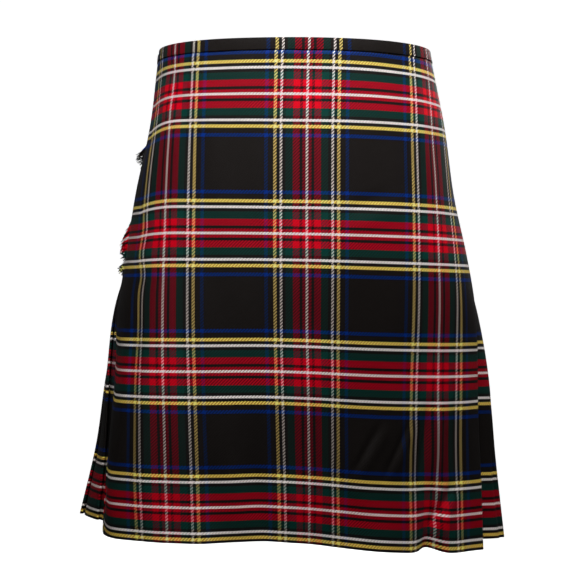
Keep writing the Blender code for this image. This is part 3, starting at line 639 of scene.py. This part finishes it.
def ripple(from_centre, drop):
    """The cloth's slight unevenness, stronger towards the hem."""
    waves = sum(
        strength * math.sin(from_centre * across + drop * down + starts_at)
        for strength, across, down, starts_at in RIPPLES
    )
    return (RIPPLE_AT_WAIST + RIPPLE_TO_HEM * (drop / LENGTH) ** 3) * waves


def add_object(name, data):
    """A new object in the scene."""
    made = bpy.data.objects.new(name, data)
    bpy.context.collection.objects.link(made)
    return made


def make_piece(name, points, faces, weave, material, sharp_angle=None):
    """A smooth piece in the scene, with the cloth's own coordinates at each corner of its faces."""
    mesh = bpy.data.meshes.new(name)
    mesh.from_pydata(points, [], faces)
    mesh.uv_layers.new(name="cloth").data.foreach_set("uv", weave)
    mesh.shade_smooth()
    if sharp_angle:
        mesh.set_sharp_from_angle(angle=math.radians(sharp_angle))
    mesh.materials.append(material)
    return add_object(name, mesh)


class Grid:
    """Places on a cloth's middle surface, with the cloth's own coordinates at each.

    A column in jumps ends one stretch of the cloth: the faces after it take up the next column's own place.
    """

    def __init__(self):
        self.columns = []
        self.across = []
        self.down = []
        self.jumps = set()

    def add(self, places, across, down):
        """Adds one column."""
        self.columns.append(places)
        self.across.append(across)
        self.down.append(down)


def shell(name, grid, thickness, material, holes=()):
    """A closed wall of cloth about the grid's surface; its thickness may change from row to row."""
    middle = np.array(grid.columns, dtype=float)
    columns, rows = middle.shape[:2]
    normal = np.cross(np.gradient(middle, axis=1), np.gradient(middle, axis=0))
    normal /= np.maximum(np.linalg.norm(normal, axis=2, keepdims=True), 1e-12)
    half = np.broadcast_to(np.asarray(thickness, dtype=float) / 2, (rows,))[None, :, None]
    points = np.concatenate([middle + normal * half, middle - normal * half]).reshape(-1, 3)

    across = np.array(grid.across, dtype=float)
    down = np.array(grid.down, dtype=float)
    begins, ends = across[:-1].copy(), across[1:]
    for column in grid.jumps:
        begins[column] = across[column + 1]

    kept = np.ones((columns - 1, rows - 1), dtype=bool)
    for cell in holes:
        kept[cell] = False
    framed = np.pad(kept, 1)
    faces, places = [], []

    def quads(mask, corners):
        """One face for each cell in the mask; a corner is (columns on, rows on, outer 0 or inner 1)."""
        c, r = np.nonzero(mask)
        loop, spots = [], []
        for along, below, side in corners:
            loop.append((c + along) * rows + r + below + side * columns * rows)
            source = ends if along else begins
            spots.append(np.stack([source[c, r + below], down[c + along, r + below]], axis=1))
        faces.append(np.stack(loop, axis=1))
        places.append(np.stack(spots, axis=1))

    quads(kept, ((0, 0, 0), (0, 1, 0), (1, 1, 0), (1, 0, 0)))
    quads(kept, ((0, 0, 1), (1, 0, 1), (1, 1, 1), (0, 1, 1)))
    quads(kept & ~framed[:-2, 1:-1], ((0, 0, 0), (0, 0, 1), (0, 1, 1), (0, 1, 0)))
    quads(kept & ~framed[2:, 1:-1], ((1, 0, 0), (1, 1, 0), (1, 1, 1), (1, 0, 1)))
    quads(kept & ~framed[1:-1, :-2], ((0, 0, 0), (1, 0, 0), (1, 0, 1), (0, 0, 1)))
    quads(kept & ~framed[1:-1, 2:], ((0, 1, 0), (0, 1, 1), (1, 1, 1), (1, 1, 0)))
    weave = np.concatenate(places).reshape(-1)
    piece = make_piece(name, points.tolist(), np.concatenate(faces).tolist(), weave, material, SHARP_ANGLE)

    return piece


def cloth_drops(rows):
    """Row drops from the seam to the hem, closer together under the waistband."""
    seam = BAND_HEIGHT + SEAM
    top = seam + SEAM_TUCK_HEIGHT
    drops = [seam + below for below in SEAM_ROWS]
    return drops + [top + (LENGTH - top) * row / rows for row in range(rows + 1)]


def seam_tuck(drop):
    """How far the cloth turns in where it goes under the waistband."""
    above = 1 - (drop - BAND_HEIGHT - SEAM) / SEAM_TUCK_HEIGHT
    return SEAM_TUCK * max(above, 0.0) ** 2


def over_apron(material):
    """The over apron, its deep fold on the wearer's left, and the stretch that the fold turns back."""
    rows = []
    for drop in cloth_drops(APRON_ROWS):
        outline = apron_outline(drop)
        rows.append((drop, outline, outline.distance_at_x(APRON_CENTRE_X), layer_step(drop)))
    grid = Grid()

    def lay(from_centre, layers, bulge=0.0, cloth_beyond=0.0):
        """A column this far from the centre and this many layers in, bulging out past the fold."""
        places, across, down = [], [], []
        for drop, outline, centre, step in rows:
            point, inwards = outline.place(centre + from_centre)
            push, lift = crease_push(point[0], drop)
            push += CLOTH / 2 + layers * step + seam_tuck(drop)
            push += crease_depth(from_centre, drop) + ripple(from_centre, drop)
            x = point[0] + inwards[0] * push + inwards[1] * bulge
            y = point[1] + inwards[1] * push - inwards[0] * bulge
            places.append((x, y, -drop - apron_dip(from_centre, drop) + lift))
            weave = apron_weave(from_centre, drop)
            across.append(weave[0] + cloth_beyond)
            down.append(weave[1])
        grid.add(places, across, down)

    for column in range(APRON_COLUMNS + 1):
        lay(-APRON_REACH_RIGHT + (APRON_REACH_RIGHT + APRON_REACH_LEFT) * column / APRON_COLUMNS, 0.0)
    for step in range(1, FOLD_COLUMNS):
        turn = math.pi * step / FOLD_COLUMNS
        bulge = DEEP_FOLD_BULGE * math.sin(turn)
        lay(APRON_REACH_LEFT, 0.5 - 0.5 * math.cos(turn), bulge, DEEP_FOLD_CLOTH * step)
    for column in range(RETURN_COLUMNS + 1):
        back = DEEP_FOLD_RETURN * column / RETURN_COLUMNS
        lay(APRON_REACH_LEFT - back, 1.0, 0.0, DEEP_FOLD_CLOTH * FOLD_COLUMNS + 2 * back)
    return shell("cloth_over_apron", grid, CLOTH_LOOK, material)


def skirt_rows():
    """Each row of the cloth: its drop, its outline, the pleats' edges, their lap, and a layer's step.

    The lap, how far a pleat reaches in under the one before, is a share of an even pleat's width.
    """
    rows = []
    for drop in cloth_drops(PLEAT_ROWS):
        outline = skirt_outline(drop)
        edges = pleat_edges(outline, drop)
        rows.append((drop, outline, edges, UNDERLAP * (edges[-1] - edges[0]) / PLEATS, layer_step(drop)))
    return rows


def pleat_group(name, first, count, material):
    """The cloth of these pleats, with each folded edge and each inner fold rounded."""
    rows = skirt_rows()
    down = [weft_place(row[0]) for row in rows]
    grid = Grid()

    def lay(pleat, laps, widths, layers, sideways=0.0, returning=False):
        """A column this many laps and widths before the pleat's folded edge, and this many layers in."""
        places, across = [], []
        for drop, outline, edges, lap, step in rows:
            back = laps * lap + widths * (edges[pleat + 1] - edges[pleat])
            sway = SWAY * math.sin(pleat * SWAY_PER_PLEAT + drop * SWAY_PER_METRE) * (drop / LENGTH)
            depth = CLOTH / 2 + layers * step + sway + seam_tuck(drop) * PLEAT_TUCK_SHARE
            x, y = inset(outline, edges[pleat + 1] - back + sideways * step, depth)
            places.append((x, y, -drop - skirt_dip(x, drop)))
            edge_across = PLEAT_FIRST_ACROSS + pleat * PLEAT_SHOWS
            across.append(edge_across + FOLD_CLOTH + back if returning else edge_across - back)
        grid.add(places, across, down)

    deepest = LAYERS_IN_STACK - 2.0
    for pleat in range(first, first + count):
        if pleat > first:
            grid.jumps.add(len(grid.columns) - 1)
        for share in np.linspace(1.0, 0.0, PLEAT_COLUMNS["under"])[:-1]:
            lay(pleat, share, 1.0, 2.0 + deepest * share)
        for share in np.linspace(1.0, 0.5, PLEAT_COLUMNS["far"])[:-1]:
            lay(pleat, 0.0, share, HALFWAY_LAYERS + (2 - HALFWAY_LAYERS) * (2 * share - 1))
        for share in np.linspace(0.5, 0.0, PLEAT_COLUMNS["near"]):
            lay(pleat, 0.0, share, HALFWAY_LAYERS * 2 * share)
        for turn in np.linspace(0.0, math.pi, PLEAT_COLUMNS["edge"])[1:-1]:
            lay(pleat, 0.0, 0.0, 0.5 - 0.5 * math.cos(turn), FOLD_ROUNDNESS * math.sin(turn))
        last = pleat == first + count - 1
        for share in np.linspace(0.0, 1.0, PLEAT_COLUMNS["lap"]):
            lay(pleat, share * (LAST_LAP_SHARE if last else 1.0), 0.0, 1.0 + deepest * share, 0.0, True)
        if not last:
            for turn in np.linspace(0.0, math.pi, PLEAT_COLUMNS["turn"])[1:-1]:
                layers = LAYERS_IN_STACK - 0.5 - 0.5 * math.cos(turn)
                lay(pleat, 1.0, 0.0, layers, -FOLD_ROUNDNESS * math.sin(turn), True)
    return shell("cloth_" + name, grid, CLOTH_LOOK, material)


def under_apron(material):
    """The under apron, easing out from behind the last pleat and round under the over apron."""
    rows = []
    for drop, outline, edges, lap, step in skirt_rows():
        end = outline.around + outline.distance_at_bearing(UNDER_END_BEARING)
        rows.append((drop, outline, edges[-1] - lap, end, step))
    down = [weft_place(row[0]) for row in rows]
    grid = Grid()
    for column in range(UNDER_APRON_COLUMNS + 1):
        share = column / UNDER_APRON_COLUMNS
        ease = min(share / UNDER_APRON_EASES_OVER, 1.0)
        places, across = [], []
        for drop, outline, start, end, step in rows:
            point, inwards = outline.place(start + (end - start) * share)
            push, lift = crease_push(point[0], drop)
            depth = CLOTH / 2 + max(LAYERS_IN_STACK * step, UNDER_APRON_INSET) + push * ease
            level = -drop * (1 - UNDER_APRON_SHORTER / LENGTH * ease) - skirt_dip(point[0], drop)
            x, y = point[0] + inwards[0] * depth, point[1] + inwards[1] * depth
            places.append((x, y, level + lift * ease))
            across.append(UNDER_APRON_ACROSS + (end - start) * share)
        grid.add(places, across, down)
    return shell("cloth_under_apron", grid, CLOTH_LOOK, material)


def band_rows():
    """The waistband's row drops and its thickness at each, with rolled edges."""
    turned = [ROUNDED_EDGE * (1 - math.cos(math.pi / 2 * step / ROLL_ROWS)) for step in range(ROLL_ROWS + 1)]
    drops = turned + [BAND_HEIGHT / 2] + [BAND_HEIGHT - turn for turn in reversed(turned)]
    thick = []
    for drop in drops:
        from_edge = min(drop, BAND_HEIGHT - drop, ROUNDED_EDGE) / ROUNDED_EDGE
        full = math.sqrt(1 - (1 - from_edge) ** 2)
        thick.append(BAND_LOOK * (BAND_EDGE_SHARE + (1 - BAND_EDGE_SHARE) * full))
    return drops, thick


def band(name, line_at, across_from, material, holes=()):
    """A waistband piece along the line that line_at gives at each drop."""
    drops, thick = band_rows()
    lines = [line_at(drop) for drop in drops]
    grid = Grid()
    for column, reach in enumerate(reaches(lines[0])):
        places = [(*line[column], -drop) for line, drop in zip(lines, drops)]
        grid.add(places, [across_from + reach] * len(drops), [BAND_WEFT_AT_TOP + drop for drop in drops])
    return shell(name, grid, thick, material, holes)


def band_front_line(drop):
    """The middle of the front waistband's wall at this drop."""
    outline = apron_outline(drop)
    centre = outline.distance_at_x(APRON_CENTRE_X)
    line = []
    for column in range(BAND_FRONT_COLUMNS + 1):
        share = column / BAND_FRONT_COLUMNS
        distance = centre - APRON_REACH_RIGHT + (APRON_REACH_RIGHT + APRON_REACH_LEFT) * share
        wave = BAND_WAVE * math.sin(column * BAND_WAVE_PER_COLUMN + drop * BAND_WAVE_PER_METRE)
        line.append(inset(outline, distance, BAND_MIDDLE + wave))
    return line


def band_back_distances(outline, front):
    """The places along the back waistband, with the slot for the inner strap between two of them."""
    front_end = front.distance_at_x(APRON_CENTRE_X) + APRON_REACH_LEFT + SEAM
    start = outline.distance_at_bearing(Outline.bearing_of(front.spot(front_end)))
    middle = outline.distance_at_bearing(SLOT_BEARING)
    low, high = middle - SLOT_LENGTH / 2, middle + SLOT_LENGTH / 2
    end = pleat_edges(outline, 0.0)[-1]
    distances = [start + (low - start) * step / SLOT_COLUMN for step in range(SLOT_COLUMN + 1)]
    rest = BAND_BACK_COLUMNS - SLOT_COLUMN - 1
    distances += [high + (end - high) * step / rest for step in range(rest + 1)]
    return front_end, start, distances


def eased(reach):
    """How much of a band's easing is done this far along it, from 0 to 1."""
    share = min(max(reach / BAND_EASE, 0.0), 1.0)
    return share * share * (3 - 2 * share)


def band_back_line(drop):
    """The middle of the back waistband's wall, which leaves the front one's line and joins the pleats'."""
    outline = skirt_outline(drop)
    front = apron_outline(drop)
    front_end, start, distances = band_back_distances(outline, front)
    line = []
    for distance in distances:
        ease = eased(distance - start)
        near = inset(outline, distance, BAND_MIDDLE)
        out = inset(front, front_end + distance - start, BAND_MIDDLE)
        line.append((out[0] + (near[0] - out[0]) * ease, out[1] + (near[1] - out[1]) * ease))
    return line


def band_under_line(drop):
    """The middle of the under apron's waistband, which eases in behind the others."""
    outline = skirt_outline(drop)
    start = pleat_edges(outline, drop)[-1] + SEAM
    end = outline.around + outline.distance_at_bearing(UNDER_END_BEARING)
    deep = UNDER_APRON_INSET + CLOTH / 2
    straight = start + BAND_SQUARE_END
    distances = [start, start + BAND_SQUARE_END / 2]
    for column in range(BAND_UNDER_COLUMNS + 1):
        distances.append(straight + (end - straight) * column / BAND_UNDER_COLUMNS)
    line = []
    for distance in distances:
        line.append(inset(outline, distance, BAND_MIDDLE + (deep - BAND_MIDDLE) * eased(distance - straight)))
    return line


def band_turning(material):
    """The back waistband's cloth, turned in over the pleats' tops, which closes them."""
    outline = skirt_outline(0.0)
    distances = band_back_distances(outline, apron_outline(0.0))[2]
    line = band_back_line(BAND_HEIGHT)
    grid = Grid()
    for spot, distance, reach in zip(line, distances, reaches(line)):
        inwards = outline.place(distance)[1]
        places, downs = [], []
        for row in range(TURNING_ROWS + 1):
            depth = TURNING_STARTS + (TURNING_ENDS - TURNING_STARTS) * row / TURNING_ROWS
            places.append((spot[0] + inwards[0] * depth, spot[1] + inwards[1] * depth, -TURNING_DROP))
            downs.append(BAND_WEFT_AT_TOP + BAND_HEIGHT + depth)
        grid.add(places, [APRON_REACH_LEFT + reach] * len(places), downs)
    return shell("band_back_turning", grid, TURNING_THICKNESS, material)


# ---- materials ----


class Nodes:
    """A short hand for making a material's nodes."""

    def __init__(self, name):
        self.material = bpy.data.materials.new(name)
        self.material.use_nodes = True
        self.tree = self.material.node_tree
        self.shader = self.tree.nodes["Principled BSDF"]

    def feed(self, socket, value):
        """Gives a socket a number, a colour or another node's output."""
        if isinstance(value, (int, float)):
            socket.default_value = value
        elif isinstance(value, tuple):
            socket.default_value = (*value, 1.0)
        else:
            self.tree.links.new(value, socket)

    def node(self, kind, inputs=(), **settings):
        """A new node with these inputs, by name or by place, and these settings."""
        made = self.tree.nodes.new(kind)
        for name, value in settings.items():
            setattr(made, name, value)
        for socket, value in dict(inputs).items():
            self.feed(made.inputs[socket], value)
        return made

    def math(self, operation, *values, clamp=False):
        """The outcome of a sum."""
        return self.node("ShaderNodeMath", enumerate(values), operation=operation, use_clamp=clamp).outputs[0]

    def gray(self, value):
        """A gray whose three channels are this value."""
        inputs = dict.fromkeys(("Red", "Green", "Blue"), value)
        return self.node("ShaderNodeCombineColor", inputs).outputs["Color"]

    def mix(self, factor, first, second, blend="MIX"):
        """Two colours mixed."""
        made = self.node("ShaderNodeMix", data_type="RGBA", blend_type=blend)
        for name, value in (("Factor", factor), ("A", first), ("B", second)):
            self.feed(next(s for s in made.inputs if s.name == name and s.enabled), value)
        return next(s for s in made.outputs if s.type == "RGBA")

    def noise(self, vector, scale, detail):
        """Noise from 0 to 1 at this scale to a metre."""
        inputs = {"Vector": vector, "Scale": scale, "Detail": detail, "Roughness": NOISE_ROUGHNESS}
        return self.node("ShaderNodeTexNoise", inputs).outputs["Fac"]

    def waves(self, along, pitch):
        """A sine wave along this value."""
        return self.math("SINE", self.math("MULTIPLY", along, 2 * math.pi / pitch))

    def surface(self, values):
        """Gives the shader these inputs."""
        for name, value in values.items():
            self.feed(self.shader.inputs[name], value)

    def rough(self, noise, least, more):
        """Gives the material a roughness that the noise raises from its least."""
        self.surface({"Roughness": self.math("ADD", self.math("MULTIPLY", noise, more), least)})

    def bump(self, height, strength, distance):
        """Gives the material this relief."""
        inputs = {"Strength": strength, "Distance": distance, "Height": height}
        self.surface({"Normal": self.node("ShaderNodeBump", inputs).outputs["Normal"]})


def stripes(nodes, along, repeat, centre, yarns):
    """The yarn colours along one way of the cloth, mirrored about each centre line."""
    shifted = nodes.math("SUBTRACT", along, centre)
    away = nodes.math("PINGPONG", shifted, repeat / 2)
    ramp = nodes.node("ShaderNodeValToRGB")
    ramp.color_ramp.interpolation = "CONSTANT"
    elements = ramp.color_ramp.elements
    starts_at = 0.0
    for index, stripe in enumerate(named(SETT)):
        position = starts_at / SETT_WIDTH
        element = elements[index] if index < RAMP_BEGINS_WITH else elements.new(position)
        element.position = position
        element.color = (*[part / RAMP_CEILING for part in yarns[stripe["colour"]]], 1.0)
        starts_at = stripe["ends_at"]
    nodes.feed(ramp.inputs["Fac"], nodes.math("DIVIDE", away, SETT_WIDTH))
    return ramp.outputs["Color"]


def woven(name, weft_only=False):
    """Twill cloth: warp and weft yarns in their stripe colours, mixed by the weave."""
    nodes = Nodes(name)
    place = nodes.node("ShaderNodeUVMap", uv_map="cloth").outputs["UV"]
    split = nodes.node("ShaderNodeSeparateXYZ", {"Vector": place})
    across, down = split.outputs["X"], split.outputs["Y"]
    diagonals = nodes.waves(nodes.math("ADD", across, down), TWILL_PITCH)
    jitter = nodes.math("MULTIPLY", diagonals, TWILL_JITTER)
    cloth = stripes(nodes, nodes.math("ADD", down, jitter), WEFT_REPEAT, FIRST_WEFT_CENTRE, WEFT_YARNS)
    if not weft_only:
        warp = stripes(nodes, nodes.math("ADD", across, jitter), WARP_REPEAT, 0.0, YARNS)
        # Painted shade: the warp's colour is darkened towards the hem, more than the weft's.
        strength = nodes.math("MULTIPLY_ADD", down, -WARP_PAINTED_SHADE_TO_HEM, WARP_AT_TOP)
        warp = nodes.mix(1.0, warp, nodes.gray(strength), "MULTIPLY")
        share = nodes.math("ADD", nodes.math("MULTIPLY", diagonals, TWILL_SHOWS), WEFT_SHARE, clamp=True)
        cloth = nodes.mix(share, warp, cloth)
    slubs = nodes.math("MULTIPLY", nodes.noise(place, SLUB_SCALE, detail=3.0), SLUBS * RAMP_CEILING)
    shade = nodes.math("ADD", slubs, RAMP_CEILING * (1 - SLUBS / 2))
    # Painted shade: the whole cloth's colour, fringe yarn included, is darkened towards the hem.
    fade = nodes.math("MULTIPLY_ADD", down, -CLOTH_PAINTED_SHADE_TO_HEM, 1.0)
    lit = nodes.mix(1.0, cloth, nodes.gray(nodes.math("MULTIPLY", shade, fade)), "MULTIPLY")
    contrast = nodes.node("ShaderNodeGamma", {"Color": lit, "Gamma": WEAVE_CONTRAST})
    colour = nodes.mix(1.0, contrast.outputs["Color"], PALEST_CLOTH, "DARKEN")
    nodes.surface({"Base Color": colour, **CLOTH_SURFACE})
    crossings = nodes.math("MULTIPLY", nodes.waves(down, YARN_PITCH), nodes.waves(across, YARN_PITCH))
    crossings = nodes.math("MULTIPLY", crossings, YARN_RELIEF)
    weave = nodes.math("ADD", nodes.math("MULTIPLY", diagonals, DIAGONAL_RELIEF), crossings)
    height = nodes.math("ADD", weave, nodes.noise(place, FUZZ_SCALE, detail=2.0))
    nodes.bump(height, *WEAVE_BUMP)
    return nodes.material


def leather():
    """Black leather with a fine grain, scuffed to brown in places."""
    nodes = Nodes("black_leather")
    place = nodes.node("ShaderNodeTexCoord").outputs["Object"]
    grain = nodes.noise(place, LEATHER_GRAIN_SCALE, detail=4.0)
    patches = nodes.noise(place, LEATHER_SCUFF_SCALE, detail=3.0)
    scuffs = nodes.math("MULTIPLY", patches, LEATHER_SCUFFS, clamp=True)
    nodes.surface({"Base Color": nodes.mix(scuffs, LEATHER_BLACK, LEATHER_WORN)})
    nodes.rough(grain, *LEATHER_ROUGHNESS)
    nodes.bump(grain, *LEATHER_BUMP)
    return nodes.material


def nickel():
    """Brushed nickel plate."""
    nodes = Nodes("nickel_plate")
    place = nodes.node("ShaderNodeTexCoord").outputs["Object"]
    nodes.surface({"Base Color": NICKEL, "Metallic": 1.0})
    nodes.rough(nodes.noise(place, NICKEL_BRUSH_SCALE, detail=3.0), *NICKEL_ROUGHNESS)
    return nodes.material


# ---- fringe ----

# Each tuft: its drop, how far it lasts either way, how far its yarns stand out, and how they gather.
FRINGE_TUFTS = (
    ("middle", "spread", "stands_out", "gathers"),
    (0.128, 0.021, 0.60, 0.40),
    (0.242, 0.037, 0.33, 0.14),
    (0.275, 0.012, 0.27, 0.30),
)
FRINGE_LENGTHS = (
    ("drop", "length"),
    (0.000, 0.0130),
    (0.260, 0.0125),
    (0.310, 0.0070),
    (0.400, 0.0040),
    (0.490, 0.0060),
    (0.610, 0.0060),
)
FRINGE_TOP = BAND_HEIGHT + 0.006
FRINGE_BOTTOM = LENGTH - 0.004
FRINGE_STRANDS = 900
STRAND_SIDES = 4
STRAND_RINGS = 5
STRAND_RADIUS = 0.0009
STRAND_TAPER = 0.5
STRAND_ROOT = 0.0006
STRAND_DEPTHS = (0.3, 0.7)
TUFT_TURNS_OUT = 0.7
YARN_SPAN = 0.002

# How the strands differ from one to the next: a value's middle, how far it swings, and how fast.
STRAND_LENGTH = (0.86, 0.12, 1.7)
STRAND_STRAYS = (0.0, 0.06, 5.1)
STRAND_SPREAD = (0.05, 0.05, 3.3)
STRAND_FALL = (0.20, 0.10, 2.4)
STRAND_CURL = (-0.35, -0.20, 1.1)


def tuft_at(drop):
    """How strong a tuft is here, how far its yarns stand out, and how far they gather downwards."""
    flare, out, gather = 0.0, 0.0, 0.0
    for tuft in named(FRINGE_TUFTS):
        near = 1 - ((drop - tuft["middle"]) / tuft["spread"]) ** 2
        if near > flare:
            flare = near
            out = tuft["stands_out"] * near
            gather = tuft["gathers"] * near * (tuft["middle"] - drop)
    return flare, out, gather


def uneven(strand, amounts, more=0.0):
    """A value that swings about its middle from strand to strand."""
    middle, swing, turn = amounts
    return middle + more + swing * math.sin(strand * turn)


def strand_start(strand, drop):
    """Where a strand leaves the cloth, which way it heads, and how long it is."""
    outline = apron_outline(drop)
    edge = outline.distance_at_x(APRON_CENTRE_X) - APRON_REACH_RIGHT
    depth = CLOTH * STRAND_DEPTHS[strand % 2]
    x, y = inset(outline, edge, depth)
    inwards = outline.place(edge)[1]
    along = np.array((-inwards[1], inwards[0], 0.0))
    outwards = -np.array((*inwards, 0.0))
    flare, out, gather = tuft_at(drop)
    loose = row_at(FRINGE_LENGTHS, drop)["length"]
    length = (FRINGE_STRIP + loose) * uneven(strand, STRAND_STRAYS, uneven(strand, STRAND_LENGTH))
    fall = uneven(strand, STRAND_FALL) + gather / length
    heading = along * (1 - TUFT_TURNS_OUT * flare) + outwards * uneven(strand, STRAND_SPREAD, out)
    heading -= np.array((0, 0, fall))
    root = np.array((x, y, -drop - apron_dip(-APRON_REACH_RIGHT, drop))) - along * STRAND_ROOT
    return root, heading / np.linalg.norm(heading), length


def fringe(material):
    """Loose weft yarns out of the over apron's free edge, lying back but for the tufts."""
    points, faces, uvs = [], [], []
    for strand in range(FRINGE_STRANDS):
        drop = FRINGE_TOP + (FRINGE_BOTTOM - FRINGE_TOP) * (strand + 0.5) / FRINGE_STRANDS
        place, heading, length = strand_start(strand, drop)
        curl = np.array((0, 0, uneven(strand, STRAND_CURL)))
        weft = weft_place(drop)
        first = len(points)
        for ring in range(STRAND_RINGS + 1):
            share = ring / STRAND_RINGS
            direction = heading + curl * share * share
            direction = direction / np.linalg.norm(direction)
            side = np.cross(direction, (0.0, 0.0, 1.0))
            side /= np.linalg.norm(side)
            up = np.cross(side, direction)
            size = STRAND_RADIUS * (1 - STRAND_TAPER * share)
            for k in range(STRAND_SIDES):
                angle = 2 * math.pi * (k + 0.5) / STRAND_SIDES
                points.append(place + size * (math.cos(angle) * side + math.sin(angle) * up))
            place = place + direction * length / STRAND_RINGS
        for ring in range(STRAND_RINGS):
            near = first + ring * STRAND_SIDES
            far = near + STRAND_SIDES
            for k in range(STRAND_SIDES):
                after = (k + 1) % STRAND_SIDES
                faces.append((near + k, near + after, far + after, far + k))
                uvs += [(ring * YARN_SPAN, weft)] * 4
        faces.append(tuple(first + k for k in reversed(range(STRAND_SIDES))))
        faces.append(tuple(first + STRAND_RINGS * STRAND_SIDES + k for k in range(STRAND_SIDES)))
        uvs += [(0.0, weft)] * (2 * STRAND_SIDES)
    return make_piece("yarn_fringe", points, faces, np.array(uvs).reshape(-1), material)


# ---- putting it together ----


def dress(piece, node=None):
    """Declares a piece of the one body, and the solid that it replaces if there is one."""
    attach(piece, "root")
    if node:
        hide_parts(node)
    return piece


tartan = woven("tartan_twill")
yarn = woven("fringe_yarn", weft_only=True)

apron = dress(over_apron(tartan), "over_apron")
dress(under_apron(tartan), "under_apron")

first = 0
for group, count in zip(GROUP_NAMES, PLEATS_IN_GROUP):
    dress(pleat_group("pleats_" + group, first, count, tartan), "pleats_" + group)
    first += count

slot_cells = {(SLOT_COLUMN, ROLL_ROWS), (SLOT_COLUMN, ROLL_ROWS + 1)}
bands = {
    "waistband_front": band("band_front", band_front_line, BAND_FRONT_ACROSS, tartan),
    "waistband_back": band("band_back", band_back_line, APRON_REACH_LEFT, tartan, slot_cells),
    "waistband_under": band("band_under", band_under_line, UNDER_APRON_ACROSS, tartan),
}
for node, piece in bands.items():
    dress(piece, node)
dress(band_turning(tartan))
dress(fringe(yarn), "fringe")

hide = leather()
metal = nickel()
for side in ("right", "left"):
    for kind, material in (("strap_", hide), ("buckle_tab_", hide), ("buckle_", metal), ("prong_", metal)):
        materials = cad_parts[kind + side].data.materials
        materials.clear()
        materials.append(material)


# ---- floor, light and camera ----

FLOOR = -1.10
ROOM = 40.0


def stage_part(name, levels, faces, material):
    """Part of the pale room, which only the camera sees: it neither lights the cloth nor shades it."""
    corners = ((-ROOM / 2, -ROOM / 2), (ROOM / 2, -ROOM / 2), (ROOM / 2, ROOM / 2), (-ROOM / 2, ROOM / 2))
    mesh = bpy.data.meshes.new(name)
    mesh.from_pydata([(*corner, level) for level in levels for corner in corners], [], faces)
    mesh.materials.append(material)
    made = add_object(name, mesh)
    made.visible_diffuse = False
    made.visible_glossy = False
    made.visible_shadow = False


def area_light(name, place, aim, size, power):
    """A soft light of this size and power, turned from its place to its aim."""
    light = bpy.data.lights.new(name, "AREA")
    light.shape = "RECTANGLE"
    light.size, light.size_y = size
    light.energy = power
    made = add_object(name, light)
    made.location = place
    heading = [a - p for a, p in zip(aim, place)]
    flat = math.hypot(heading[0], heading[1])
    turn = math.atan2(-heading[0], heading[1])
    made.rotation_euler = (math.pi / 2 + math.atan2(heading[2], flat), 0.0, turn)


pale = Nodes("pale_room")
pale.surface({
    "Base Color": (0.9, 0.9, 0.9),
    "Roughness": 0.9,
    "Emission Color": (1.0, 1.0, 1.0),
    "Emission Strength": 1.0,
})

stage_part("floor", (FLOOR,), [(0, 1, 2, 3)], pale.material)
walls = [(0, 4, 5, 1), (1, 5, 6, 2), (2, 6, 7, 3), (3, 7, 4, 0), (7, 6, 5, 4)]
stage_part("walls", (FLOOR, FLOOR + ROOM), walls, pale.material)

area_light("key", (0.20, -1.15, 1.15), (0.0, 0.0, 0.10), (2.6, 0.8), 45.0)
area_light("front_fill", (0.4, -3.2, 0.3), (0.0, 0.0, -0.10), (2.4, 1.6), 1.5)
area_light("back_fill", (0.3, 2.6, 1.1), (0.0, 0.0, -0.30), (2.6, 1.6), 60.0)
area_light("side_left", (2.0, 1.6, 0.8), (0.0, 0.0, -0.30), (1.8, 1.6), 8.0)
area_light("side_right", (-2.0, 1.6, 0.8), (0.0, 0.0, -0.30), (1.8, 1.6), 1.5)

world = bpy.data.worlds.new("pale_room")
world.use_nodes = True
background = world.node_tree.nodes["Background"]
background.inputs["Color"].default_value = (1.0, 1.0, 1.0, 1.0)
background.inputs["Strength"].default_value = 0.04
bpy.context.scene.world = world

camera_data = bpy.data.cameras.new("camera")
camera_data.sensor_width = 36.0
camera_data.lens = 105.8
camera_data.shift_y = 0.0363
camera = add_object("camera", camera_data)
camera.location = (-0.0071, -2.2, -0.3327)
camera.rotation_euler = (math.pi / 2, 0.0, 0.0)
bpy.context.scene.camera = camera
bpy.context.scene.view_settings.view_transform = "Standard"
